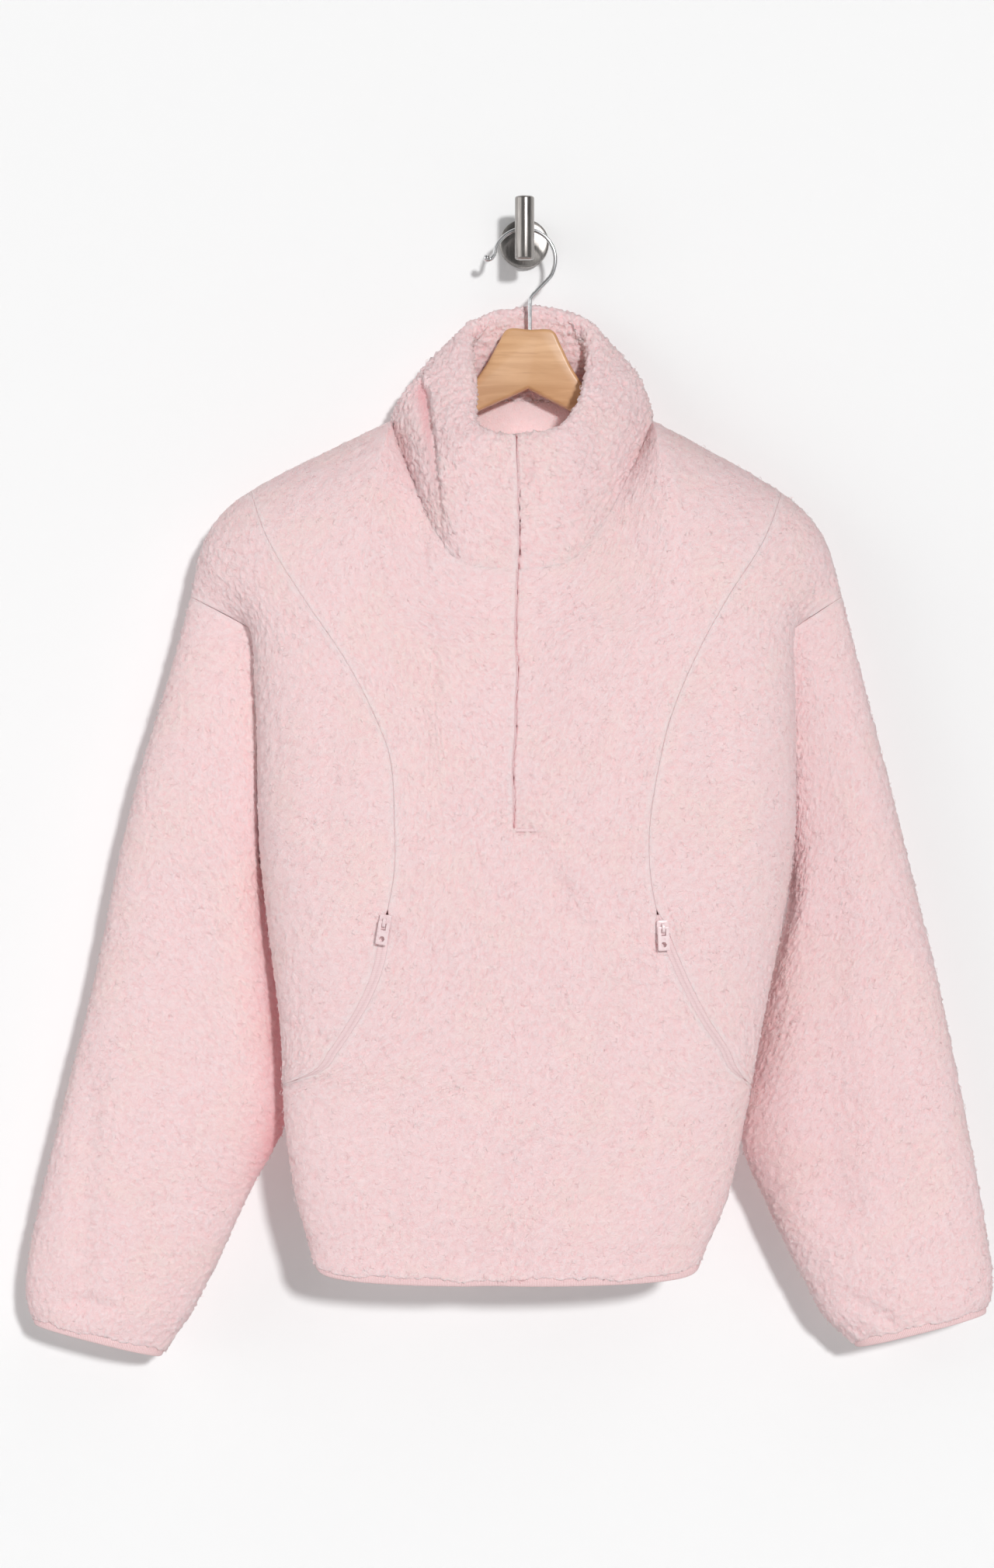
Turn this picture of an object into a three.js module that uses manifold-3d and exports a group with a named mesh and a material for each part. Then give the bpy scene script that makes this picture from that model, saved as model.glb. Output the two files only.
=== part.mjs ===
// Sherpa fleece half-zip pullover on a wooden hanger, hung from a wall peg.
// Millimetres, +Z up, +X to the viewer's right, the wall at Y = 0 and the front of the garment towards -Y.
// The origin is the centre of the wall rose's back face.
import * as THREE from "three";
import { mergeVertices } from "three/addons/utils/BufferGeometryUtils.js";
import Module from "manifold-3d";

const wasm = await Module();
wasm.setup();

const { Vector3 } = THREE;

// Cloth
const FLEECE = 6;
const COLLAR_THICKNESS = 13;
const COLLAR_SWELL = 0.5;
const COLLAR_ROUNDING = 0.12;
const SEAM_GAP = 0.3;
const NECK_GAP = 0.7;
const BINDING_HEIGHT = 8;
const BINDING_THICKNESS = 4;

// Heights of the body's main lines
const HEM = -742;
const POCKET_END = -612;
const POCKET_TOP = -484;
const UNDERARM = -450;
const ZIP_END = -427;
const CORNER = -285;
const PINCH = 0.5;

// The hem hangs lowest at the centre and is rounded up at its corners, over the lowest part of the body
const HEM_SAG = 4;
const HEM_RISE = 10;
const HEM_CORNER = 5;
const HEM_FADE = 0.22;

// Rows of each stretch of the body, from the hem up
const STRETCHES = [
  { from: HEM, to: POCKET_END, rows: 4 },
  { from: POCKET_END + PINCH, to: POCKET_TOP, rows: 7 },
  { from: POCKET_TOP, to: UNDERARM, rows: 2 },
  { from: UNDERARM, to: ZIP_END, rows: 1 },
  { from: ZIP_END, to: CORNER, rows: 5 },
];
const YOKE_ROWS = 6;

// Columns of half a body, from the centre line to the side
const FRONT_COLUMNS = 9;
const SIDE_COLUMNS = 3;
const BACK_COLUMNS = 12;
const SEAM_TOP = FRONT_COLUMNS / BACK_COLUMNS;
const NECK_SHARE = 5 / BACK_COLUMNS;

// Sections of the body: x of its two sides and centre line, y of its front, side seams and back
const BODY = [
  { z: -742, left: -152, right: 127, centre: -12, front: -110, side: -80, back: -38 },
  { z: -700, left: -163, right: 143.5, centre: -12, front: -118, side: -80, back: -32 },
  { z: -640, left: -172, right: 157, centre: -12, front: -124, side: -78, back: -26 },
  { z: -570, left: -175.5, right: 170, centre: -12, front: -128, side: -74, back: -20 },
  { z: -500, left: -184.5, right: 184.5, centre: -12, front: -131, side: -66, back: -15 },
  { z: -440, left: -191, right: 194, centre: -12, front: -132, side: -58, back: -11 },
  { z: -360, left: -192.5, right: 194.5, centre: -11, front: -131, side: -48, back: -8 },
  { z: -285, left: -196, right: 192.5, centre: -10, front: -123, side: -42, back: -7 },
];
const FRONT_ROUNDNESS = 2.6;
const BACK_FLATNESS = 3;
const ARMHOLE_REACH = 24;
const ARMHOLE_FULLNESS = 0.8;

// Shoulder line from the neck point to the top of the sleeve
const SHOULDER = [
  { share: 0, left: -97, right: 93, y: -31, z: -132 },
  { share: 0.25, left: -143, right: 135, y: -28, z: -154 },
  { share: 0.5, left: -187, right: 174, y: -28, z: -176 },
  { share: 0.72, left: -219, right: 204, y: -33, z: -199 },
  { share: 0.87, left: -234, right: 220, y: -39, z: -224 },
  { share: 1, left: -242, right: 230, y: -44, z: -261 },
];
const FRONT_YOKE_ROUNDNESS = 1.9;
const BACK_YOKE_ROUNDNESS = 4;

// Neck seam and top edge of the collar, turning from the front centre (0) past the side (1) to the back (2)
const NECK = [
  { turn: 0, centre: -9, out: 0, y: -118, z: -245, lift: 0.2 },
  { turn: 0.25, centre: -8, out: 36, y: -114, z: -239, lift: 0.3 },
  { turn: 0.5, centre: -6, out: 57, y: -100, z: -218, lift: 0.5 },
  { turn: 0.75, centre: -4, out: 77, y: -70, z: -178, lift: 0.8 },
  { turn: 1, centre: -2, out: 95, y: -31, z: -132, lift: 1.2 },
  { turn: 1.3, centre: 0, out: 84, y: -17, z: -122, lift: 0.7 },
  { turn: 1.6, centre: 2, out: 52, y: -10, z: -116, lift: 0.4 },
  { turn: 2, centre: 3, out: 0, y: -8, z: -114, lift: 0.2 },
];
const COLLAR_TOP = [
  { turn: 0, centre: -8, out: 0, y: -103, z: -146 },
  { turn: 0.5, centre: -3, out: 31, y: -93, z: -136 },
  { turn: 1, centre: 4, out: 41, y: -64, z: -103 },
  { turn: 1.5, centre: 4, out: 45, y: -25, z: -59 },
  { turn: 1.75, centre: 5, out: 32, y: -13, z: -50 },
  { turn: 2, centre: 5, out: 0, y: -8, z: -46 },
];
const COLLAR_BULGE = [
  { turn: 0, left: 3, right: 3 },
  { turn: 0.5, left: 13, right: 8 },
  { turn: 1, left: 14, right: 15 },
  { turn: 1.5, left: 11, right: 11 },
  { turn: 2, left: 0, right: 0 },
];
const COLLAR_ROWS = 9;
const COLLAR_ROW_SPREAD = 1.2;
const NECK_HUB_Y = -60;

// Curved front seam that runs down into the slanted pocket
const FRONT_SEAM = [
  { z: -611, left: -172, right: 161 },
  { z: -600, left: -147, right: 149 },
  { z: -586, left: -136, right: 142 },
  { z: -565, left: -122, right: 128 },
  { z: -549, left: -113, right: 119 },
  { z: -526, left: -104, right: 108 },
  { z: -490, left: -98, right: 94 },
  { z: -457, left: -92.5, right: 88 },
  { z: -425, left: -92.5, right: 88 },
  { z: -376, left: -96, right: 96 },
  { z: -352, left: -105, right: 102 },
  { z: -308, left: -128, right: 120 },
  { z: -264, left: -158, right: 144 },
  { z: -222, left: -184, right: 171 },
  { z: -181, left: -200, right: 188 },
];

// Sleeve rings: outer and inner edge in the front view, their depth, and the half depths in front and behind
const SLEEVE = {
  left: [
    { t: 0, outX: -242, outZ: -261, inX: -190, inZ: -450, outY: -44, inY: -59, front: 24, back: 22 },
    { t: 0.15, outX: -258, outZ: -320, inX: -187, inZ: -500, outY: -42, inY: -42, front: 34, back: 29 },
    { t: 0.3, outX: -277, outZ: -382, inX: -179, inZ: -545, outY: -42, inY: -40, front: 36, back: 31 },
    { t: 0.45, outX: -294, outZ: -450, inX: -174, inZ: -592, outY: -42, inY: -40, front: 36, back: 32 },
    { t: 0.6, outX: -311, outZ: -535, inX: -173, inZ: -640, outY: -42, inY: -42, front: 36, back: 32 },
    { t: 0.75, outX: -334, outZ: -628, inX: -200, inZ: -694, outY: -42, inY: -42, front: 35, back: 31 },
    { t: 0.9, outX: -358, outZ: -732, inX: -231, inZ: -760, outY: -42, inY: -42, front: 31, back: 28 },
    { t: 0.97, outX: -361, outZ: -768, inX: -248, inZ: -790, outY: -42, inY: -42, front: 27, back: 24 },
    { t: 1, outX: -356, outZ: -780, inX: -260, inZ: -804, outY: -42, inY: -42, front: 23, back: 21 },
  ],
  right: [
    { t: 0, outX: 230, outZ: -261, inX: 193, inZ: -450, outY: -44, inY: -59, front: 24, back: 22 },
    { t: 0.15, outX: 245, outZ: -320, inX: 190, inZ: -497, outY: -42, inY: -42, front: 34, back: 29 },
    { t: 0.3, outX: 262, outZ: -386, inX: 176, inZ: -545, outY: -42, inY: -40, front: 36, back: 31 },
    { t: 0.45, outX: 279, outZ: -455, inX: 167, inZ: -592, outY: -42, inY: -40, front: 36, back: 32 },
    { t: 0.6, outX: 299, outZ: -537, inX: 157, inZ: -652, outY: -42, inY: -42, front: 36, back: 32 },
    { t: 0.75, outX: 317, outZ: -624, inX: 175, inZ: -700, outY: -42, inY: -42, front: 35, back: 31 },
    { t: 0.9, outX: 335, outZ: -724, inX: 203, inZ: -757, outY: -42, inY: -42, front: 31, back: 28 },
    { t: 0.97, outX: 339, outZ: -762, inX: 221, inZ: -787, outY: -42, inY: -42, front: 27, back: 24 },
    { t: 1, outX: 334, outZ: -772, inX: 236, inZ: -798, outY: -42, inY: -42, front: 23, back: 21 },
  ],
};
const SLEEVE_ROWS = 19;
const SLEEVE_ROW_SPREAD = 1.1;
const SLEEVE_ROUNDNESS = 0.9;
const ARMHOLE_FADE = 0.35;

// Soft troughs of the front and the sleeves, each a line in the front view with its half width and depth
const FRONT_FOLDS = [
  { fromX: -79, fromZ: -274, toX: -82, toZ: -384, width: 15, depth: 6 },
  { fromX: -5, fromZ: -425, toX: 28, toZ: -485, width: 13, depth: 5 },
  { fromX: 68, fromZ: -545, toX: 53, toZ: -691, width: 15, depth: 6 },
  { fromX: -5, fromZ: -669, toX: -24, toZ: -742, width: 13, depth: 5 },
];
const SLEEVE_FOLDS = [
  { fromX: 218, fromZ: -360, toX: 222, toZ: -700, width: 20, depth: 7 },
  { fromX: -314, fromZ: -607, toX: -318, toZ: -765, width: 11, depth: 4 },
];

// Zips
const ZIP_SLIT = 2.2;
const ZIP_FILL = 0.78;
const ZIP_SUNK = 1.5;
const ZIP_THICKNESS = 2.5;
const ZIP_START = 1.5;
const POCKET_SLIT = 3.4;
const POCKET_TAPER = 14;
const POCKET_FILL = 0.8;

// Pocket sliders: their place down the seam and how far they lean from upright
const SLIDERS = [
  { side: "left", z: -494, lean: 0.16 },
  { side: "right", z: -498, lean: -0.04 },
];
const SLIDER = { width: 8.4, height: 10.5, thickness: 2.6, clearance: 0.6, round: 1.6 };
const BRIDGE = { width: 2.2, halfLength: 3.4, height: 3.8, sunk: 0.2, bore: 1.45 };
const PIVOT_OUT = 1.7;
const TAB = { halfWidth: 4.1, length: 16, thickness: 1.4, barHalf: 0.8 };
const TAB_SLOT = { halfWidth: 1.7, length: 5.6 };
const TAB_EYE = { radius: 2.1, up: 4.1 };

// Hanger and wall hook
const HANGER_X = 4;
const HANGER_Y = -30;
const HANGER_TILT = 0.03;
const WOOD_THICKNESS = 11;
const WOOD_BEVEL = 2.5;
const WOOD_TOP = [
  { out: 0, z: -66 },
  { out: 16, z: -66 },
  { out: 23, z: -77 },
  { out: 32, z: -94 },
  { out: 44, z: -110 },
  { out: 62, z: -126 },
  { out: 86, z: -140 },
  { out: 106, z: -148 },
  { out: 147, z: -168 },
  { out: 184, z: -188 },
];
const WOOD_UNDER = [
  { out: 190, z: -199 },
  { out: 184, z: -208 },
  { out: 147, z: -192 },
  { out: 100, z: -167 },
  { out: 50, z: -134 },
  { out: 0, z: -109 },
];
const WIRE_RADIUS = 1.5;
const HOOK_RADIUS = 22.5;
const HOOK_ARC = { from: 172, to: -40, step: 13 };
const HOOK_TIP = [
  { x: -29.5, z: -12 },
  { x: -25.5, z: -14.5 },
];
const HOOK_NECK = [
  { x: 9, z: -37.5 },
  { x: 5, z: -42 },
  { x: 4, z: -47 },
];
const STEM_RADIUS = 6;
const HOOK_CENTRE_Z = STEM_RADIUS + SEAM_GAP + WIRE_RADIUS - HOOK_RADIUS;
const ROSE = { radius: 18, thickness: 8, edge: 1.5 };
const PEG = { radius: 7, y: -40, top: 30, bottom: -16, edge: 1.2 };

const MATERIALS = {
  fleece: { color: 0xefd3d3, roughness: 0.95, metalness: 0 },
  binding: { color: 0xf1cfd0, roughness: 0.8, metalness: 0 },
  tape: { color: 0xe9c4c5, roughness: 0.8, metalness: 0 },
  pull: { color: 0xf0d6d7, roughness: 0.4, metalness: 0 },
  wood: { color: 0xd7a77c, roughness: 0.5, metalness: 0 },
  wire: { color: 0xc8c8c8, roughness: 0.15, metalness: 1 },
  steel: { color: 0xb0a9a4, roughness: 0.35, metalness: 1 },
};

const group = new THREE.Group();

function addMesh(name, geometry, material, parent = group) {
  const mesh = new THREE.Mesh(geometry, new THREE.MeshStandardMaterial(MATERIALS[material]));
  mesh.name = name;
  parent.add(mesh);
  return mesh;
}

// Reads a column of a table at a key value, along a smooth curve through its rows.
function column(table, key, name, at) {
  const last = table.length - 1;
  if (at <= table[0][key]) return table[0][name];
  if (at >= table[last][key]) return table[last][name];
  let row = 0;
  while (at > table[row + 1][key]) row += 1;
  const slope = (a, b) => (table[b][name] - table[a][name]) / (table[b][key] - table[a][key]);
  const here = slope(row, row + 1);
  const before = row > 0 ? slope(row - 1, row) : here;
  const after = row + 1 < last ? slope(row + 1, row + 2) : here;
  const span = table[row + 1][key] - table[row][key];
  const s = (at - table[row][key]) / span;
  const start = ((before + here) / 2) * span;
  const end = ((here + after) / 2) * span;
  const rise = table[row + 1][name] - table[row][name];
  const bend = 3 * rise - 2 * start - end;
  const twist = start + end - 2 * rise;
  return table[row][name] + s * (start + s * (bend + s * twist));
}

const mix = (a, b, share) => a + (b - a) * share;
const clamp = (value) => Math.min(1, Math.max(0, value));
const ease = (value) => clamp(value) ** 2 * (3 - 2 * clamp(value));
const mixed = (a, b, share) => new Vector3().lerpVectors(a, b, share);
const sign = (side) => (side === "left" ? -1 : 1);

// Depth that the listed troughs press into a front surface at a place in the front view.
function foldDepth(folds, x, z) {
  let depth = 0;
  for (const fold of folds) {
    const along = new Vector3(fold.toX - fold.fromX, 0, fold.toZ - fold.fromZ);
    const from = new Vector3(x - fold.fromX, 0, z - fold.fromZ);
    const share = clamp(from.dot(along) / along.lengthSq());
    const distance = from.addScaledVector(along, -share).length();
    depth += fold.depth * Math.exp(-((distance / fold.width) ** 2));
  }
  return depth;
}

// A body height is 0 to 1 from the hem to the corner row, and 1 to 2 from there to the neck and shoulders.
const heightAt = (z) => (z - HEM) / (CORNER - HEM);
const levelAt = (height) => mix(HEM, CORNER, Math.min(height, 1));

function bodyHeights() {
  const heights = [];
  for (const { from, to, rows } of STRETCHES) {
    for (let row = 0; row < rows; row += 1) {
      heights.push(heightAt(mix(from, to, row / rows)));
    }
    if (to === POCKET_END) heights.push(heightAt(POCKET_END));
  }
  for (let row = 0; row <= YOKE_ROWS; row += 1) {
    heights.push(1 + row / YOKE_ROWS);
  }
  return heights;
}

const HEIGHTS = bodyHeights();
const rowOf = (z) => HEIGHTS.findIndex((height) => Math.abs(height - heightAt(z)) < 1e-9);

// How far the armhole stands open at a level, 0 at the underarm and 1 at the corner row.
function armholeReach(z) {
  const rise = clamp((z - UNDERARM) / (CORNER - UNDERARM));
  return Math.sin((Math.PI / 2) * rise) ** ARMHOLE_FULLNESS;
}

function frontSection(side, share, z) {
  const centre = column(BODY, "z", "centre", z);
  const edgeX = column(BODY, "z", side, z);
  const edgeY = column(BODY, "z", "side", z) - ARMHOLE_REACH * armholeReach(z);
  const crest = column(BODY, "z", "front", z);
  const angle = (share * Math.PI) / 2;
  const across = Math.sin(angle) ** (2 / FRONT_ROUNDNESS);
  const out = Math.abs(Math.cos(angle)) ** (2 / FRONT_ROUNDNESS);
  return new Vector3(mix(centre, edgeX, across), mix(edgeY, crest, out), z);
}

function backSection(side, share, z) {
  const centre = column(BODY, "z", "centre", z);
  const edgeX = column(BODY, "z", side, z);
  const edgeY = column(BODY, "z", "side", z) + ARMHOLE_REACH * armholeReach(z);
  const crest = column(BODY, "z", "back", z);
  return new Vector3(mix(centre, edgeX, share), mix(crest, edgeY, share ** BACK_FLATNESS), z);
}

function ringPoint(table, side, turn) {
  const x = column(table, "turn", "centre", turn) + sign(side) * column(table, "turn", "out", turn);
  return new Vector3(x, column(table, "turn", "y", turn), column(table, "turn", "z", turn));
}

function shoulderPoint(side, share) {
  const read = (name) => column(SHOULDER, "share", name, share);
  return new Vector3(read(side), read("y"), read("z"));
}

const shoulderShare = (share) => (share - NECK_SHARE) / (1 - NECK_SHARE);

function topPoint(part, side, share) {
  if (share > NECK_SHARE) return shoulderPoint(side, shoulderShare(share));
  const turn = share / NECK_SHARE;
  return ringPoint(NECK, side, part === "front" ? turn : 2 - turn);
}

// The yoke curves from the corner row up to the neck and shoulder line, straight at the neck and round at the
// shoulder.
function yokePoint(part, side, share, rise) {
  const corner = part === "front" ? frontSection(side, share, CORNER) : backSection(side, share, CORNER);
  const top = topPoint(part, side, share);
  const fullness = part === "front" ? FRONT_YOKE_ROUNDNESS : BACK_YOKE_ROUNDNESS;
  const roundness = mix(1, fullness, ease((share - NECK_SHARE / 2) / (NECK_SHARE / 2)));
  const angle = (rise * Math.PI) / 2;
  const lift = Math.sin(angle) ** (2 / roundness);
  const fall = 1 - Math.abs(Math.cos(angle)) ** (2 / roundness);
  return new Vector3(mix(corner.x, top.x, lift), mix(corner.y, top.y, fall), mix(corner.z, top.z, lift));
}

function hemLift(share, height) {
  const lift = HEM_RISE * share ** 2 + HEM_CORNER * share ** 8 - HEM_SAG;
  return lift * clamp(1 - height / HEM_FADE) ** 2;
}

function bodyPoint(part, side, share, height) {
  const section = part === "front" ? frontSection : backSection;
  const low = () => section(side, share, levelAt(height));
  const point = height > 1 ? yokePoint(part, side, share, height - 1) : low();
  point.z += hemLift(share, height);
  if (part === "back") return point;
  const facing = Math.cos((share * Math.PI) / 2) * clamp(2 - height);
  point.y += foldDepth(FRONT_FOLDS, point.x, point.z) * facing;
  return point;
}

const neckOutward = (side, turn) => {
  const point = ringPoint(NECK, side, turn);
  const hub = new Vector3(column(NECK, "turn", "centre", turn), NECK_HUB_Y, point.z);
  const outward = point.sub(hub).normalize();
  outward.z += column(NECK, "turn", "lift", turn);
  return outward.normalize();
};

// Surface direction that leaves the cloth, worked out from small steps on either side.
function bodyNormal(part, side, share, height) {
  const step = 0.004;
  const low = bodyPoint(part, side, Math.max(0, share - step), height);
  const high = bodyPoint(part, side, Math.min(1, share + step), height);
  const under = bodyPoint(part, side, share, Math.max(0, height - step));
  const over = bodyPoint(part, side, share, Math.min(2, height + step));
  const turned = part === "front" ? sign(side) : -sign(side);
  return high.sub(low).cross(over.sub(under)).multiplyScalar(turned).normalize();
}

// Direction of the cut edge at a seam, shared by the two pieces that meet there.
function edgeOutward(part, side, height) {
  const s = sign(side);
  const face = part === "front" ? -1 : 1;
  const across = new Vector3(s, 0, 0);
  const valley = new Vector3(0.4 * s, 0.92 * face, 0);
  const shoulder = new Vector3(0.5 * s, 0, 0.87);
  if (height > 1) return mixed(valley, shoulder, height - 1).normalize();
  const z = levelAt(height);
  if (z > UNDERARM) return mixed(across, valley, ease(armholeReach(z) * 1.5)).normalize();
  const shared = bodyNormal("front", side, 1, height).add(bodyNormal("back", side, 1, height));
  return shared.normalize();
}

function topOutward(part, side, share) {
  if (share <= NECK_SHARE) {
    const turn = share / NECK_SHARE;
    return neckOutward(side, part === "front" ? turn : 2 - turn);
  }
  const along = shoulderShare(share);
  const ridge = new Vector3(0, 0, 1);
  const start = mixed(neckOutward(side, 1), ridge, ease(along / 0.3));
  return mixed(start, edgeOutward(part, side, 2), ease((along - 0.6) / 0.4)).normalize();
}

function bodyOutward(part, side, share, height) {
  if (height > 2 - 1e-9) return topOutward(part, side, share);
  if (share > 1 - 1e-9) return edgeOutward(part, side, height);
  return bodyNormal(part, side, share, height);
}

// Moves the border of a grid of points in by half a seam gap, so that neighbours stay apart.
function insetBorder(grid, wrap, gap) {
  const nudge = (point, towards) => point.addScaledVector(towards.clone().sub(point).normalize(), gap / 2);
  const lastRow = grid.length - 1;
  const lastColumn = grid[0].length - 1;
  grid[0].forEach((point, j) => nudge(point, grid[1][j]));
  grid[lastRow].forEach((point, j) => nudge(point, grid[lastRow - 1][j]));
  if (wrap) return;
  for (const row of grid) {
    nudge(row[0], row[1]);
    nudge(row[lastColumn], row[lastColumn - 1]);
  }
}

function solidGeometry(positions, triangles) {
  const geometry = new THREE.BufferGeometry();
  geometry.setAttribute("position", new THREE.Float32BufferAttribute(positions, 3));
  const corner = (k) => new Vector3().fromArray(positions, 3 * k);
  let volume = 0;
  for (let k = 0; k < triangles.length; k += 3) {
    volume += corner(triangles[k]).dot(corner(triangles[k + 1]).cross(corner(triangles[k + 2])));
  }
  geometry.setIndex(volume > 0 ? triangles : triangles.reverse());
  return geometry;
}

// A cloth wall: a grid of outer points, the same grid moved inwards, and a rim round every open edge.
function clothWall({ outer, inner, wrap = false, gap = SEAM_GAP, keep = () => true }) {
  insetBorder(outer, wrap, gap);
  insetBorder(inner, wrap, gap);
  const rows = outer.length;
  const columns = outer[0].length;
  const positions = [...outer.flat(), ...inner.flat()].flatMap((point) => point.toArray());
  const triangles = [];
  const skin = (i, j) => i * columns + (j % columns);
  const lining = (i, j) => rows * columns + skin(i, j);
  const quad = (a, b, c, d) => triangles.push(a, b, c, a, c, d);
  const cellsAcross = wrap ? columns : columns - 1;
  const kept = (i, j) => {
    if (i < 0 || i >= rows - 1) return false;
    if (!wrap && (j < 0 || j >= cellsAcross)) return false;
    return keep(i, (j + cellsAcross) % cellsAcross);
  };
  for (let i = 0; i < rows - 1; i += 1) {
    for (let j = 0; j < cellsAcross; j += 1) {
      if (!kept(i, j)) continue;
      quad(skin(i, j), skin(i, j + 1), skin(i + 1, j + 1), skin(i + 1, j));
      quad(lining(i, j), lining(i + 1, j), lining(i + 1, j + 1), lining(i, j + 1));
      if (!kept(i - 1, j)) quad(skin(i, j), lining(i, j), lining(i, j + 1), skin(i, j + 1));
      if (!kept(i + 1, j)) quad(skin(i + 1, j), skin(i + 1, j + 1), lining(i + 1, j + 1), lining(i + 1, j));
      if (!kept(i, j - 1)) quad(skin(i, j), skin(i + 1, j), lining(i + 1, j), lining(i, j));
      if (!kept(i, j + 1)) quad(skin(i + 1, j + 1), skin(i, j + 1), lining(i, j + 1), lining(i + 1, j + 1));
    }
  }
  return solidGeometry(positions, triangles);
}

// Makes the outer and inner grid of a body panel from its columns of side and share at each height.
function bodyGrid(part, heights, columnsAt, thickness = FLEECE, sunk = 0) {
  const outer = [];
  const inner = [];
  for (const height of heights) {
    const places = columnsAt(height);
    const points = places.map(({ side, share }) => bodyPoint(part, side, share, height));
    const outward = places.map(({ side, share }) => bodyOutward(part, side, share, height));
    outer.push(points.map((point, j) => point.clone().addScaledVector(outward[j], -sunk)));
    inner.push(points.map((point, j) => point.clone().addScaledVector(outward[j], -sunk - thickness)));
  }
  return { outer, inner };
}

// Share at which a row of the front crosses the curved seam, 1 where it doesn't.
function seamShare(side, height) {
  if (height > 2 - 1e-9) return SEAM_TOP;
  if (levelAt(height) < POCKET_END + PINCH / 2) return 1;
  const beyond = (share) => {
    const point = bodyPoint("front", side, share, height);
    return sign(side) * (point.x - column(FRONT_SEAM, "z", side, point.z));
  };
  let low = 0.1;
  let high = 1;
  if (beyond(high) < 0) return 1;
  for (let step = 0; step < 40; step += 1) {
    const middle = (low + high) / 2;
    if (beyond(middle) > 0) high = middle;
    else low = middle;
  }
  return low;
}

// Share that spans a length along a row of the front.
function shareOf(length, side, share, height) {
  const step = 0.01;
  const far = Math.min(1, share + step);
  const start = bodyPoint("front", side, far - step, height);
  return (length * step) / bodyPoint("front", side, far, height).distanceTo(start);
}

// Half width of the slit that the pocket zip fills at a level.
function pocketSlit(z) {
  const fromTop = (POCKET_TOP - z) / POCKET_TAPER;
  const fromEnd = (z - POCKET_END) / POCKET_TAPER;
  return POCKET_SLIT * ease(fromTop) * ease(fromEnd);
}

function seamEdge(side, height, offset) {
  const share = seamShare(side, height);
  if (share === 1) return 1;
  const slit = height > 1 ? 0 : pocketSlit(levelAt(height));
  return clamp(share + offset * shareOf(slit, side, share, height));
}

const slitShare = (side, height) => shareOf(ZIP_SLIT, side, 0.01, height);

function frontColumns(height) {
  const half = (side) => {
    const edge = seamEdge(side, height, -1);
    const places = [{ side, share: slitShare(side, height) }];
    for (let k = 1; k <= FRONT_COLUMNS; k += 1) {
      places.push({ side, share: (edge * k) / FRONT_COLUMNS });
    }
    return places;
  };
  return [...half("left").reverse(), ...half("right")];
}

function sideColumns(side, height) {
  const edge = seamEdge(side, height, 1);
  const places = [];
  for (let k = 0; k <= SIDE_COLUMNS; k += 1) {
    places.push({ side, share: mix(edge, 1, k / SIDE_COLUMNS) });
  }
  return places;
}

function backColumns() {
  const places = [];
  for (let k = -BACK_COLUMNS; k <= BACK_COLUMNS; k += 1) {
    places.push({ side: k < 0 ? "left" : "right", share: Math.abs(k) / BACK_COLUMNS });
  }
  return places;
}

function addBody() {
  const slitRow = rowOf(ZIP_END);
  const keep = (i, j) => j !== FRONT_COLUMNS || i < slitRow;
  addMesh("front_centre", clothWall({ ...bodyGrid("front", HEIGHTS, frontColumns), keep }), "fleece");
  const sideHeights = HEIGHTS.slice(rowOf(POCKET_END + PINCH));
  for (const side of ["left", "right"]) {
    const grid = bodyGrid("front", sideHeights, (height) => sideColumns(side, height));
    addMesh(`side_front_${side}`, clothWall(grid), "fleece");
  }
  addMesh("back", clothWall(bodyGrid("back", HEIGHTS, backColumns)), "fleece");
}

// The armhole loop runs from the shoulder down the front to the underarm and up the back again.
function armholeLoop(side) {
  const heights = HEIGHTS.slice(rowOf(UNDERARM)).reverse();
  const places = heights.map((height) => ({ part: "front", height }));
  const behind = heights.slice(1, -1).reverse();
  places.push(...behind.map((height) => ({ part: "back", height })));
  const points = places.map(({ part, height }) => bodyPoint(part, side, 1, height));
  const outward = places.map(({ part, height }) => edgeOutward(part, side, height));
  const lowest = heights.length - 1;
  const turns = [0];
  for (let k = 1; k < points.length; k += 1) {
    turns.push(turns[k - 1] + points[k].distanceTo(points[k - 1]));
  }
  const whole = turns[points.length - 1] + points[0].distanceTo(points[points.length - 1]);
  const shares = turns.map((turn, k) => {
    if (k <= lowest) return turn / turns[lowest];
    return 1 + (turn - turns[lowest]) / (whole - turns[lowest]);
  });
  return { points, outward, shares };
}

// A regular sleeve ring: an oval between its outer and inner edge, 0 to 1 in front and 1 to 2 behind.
function sleeveRing(side, t, share) {
  const read = (name) => column(SLEEVE[side], "t", name, t);
  const across = (1 - Math.cos(Math.PI * share)) / 2;
  const depth = share <= 1 ? -read("front") : read("back");
  const middle = mix(read("outY"), read("inY"), across);
  const y = middle + depth * Math.abs(Math.sin(Math.PI * share)) ** SLEEVE_ROUNDNESS;
  return new Vector3(mix(read("outX"), read("inX"), across), y, mix(read("outZ"), read("inZ"), across));
}

function sleevePoint(side, loop, t, k) {
  const share = loop.shares[k];
  const point = sleeveRing(side, t, share);
  const fade = clamp(1 - t / ARMHOLE_FADE) ** 2;
  point.add(loop.points[k].clone().sub(sleeveRing(side, 0, share)).multiplyScalar(fade));
  const pressed = Math.max(0, Math.sin(Math.PI * share)) * (1 - fade);
  point.y += foldDepth(SLEEVE_FOLDS, point.x, point.z) * pressed;
  return point;
}

function gridNormal(grid, i, j, turned) {
  const columns = grid[0].length;
  const above = grid[Math.max(0, i - 1)][j];
  const below = grid[Math.min(grid.length - 1, i + 1)][j];
  const before = grid[i][(j + columns - 1) % columns];
  const after = grid[i][(j + 1) % columns];
  const along = below.clone().sub(above);
  return after.clone().sub(before).cross(along).multiplyScalar(turned).normalize();
}

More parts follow.
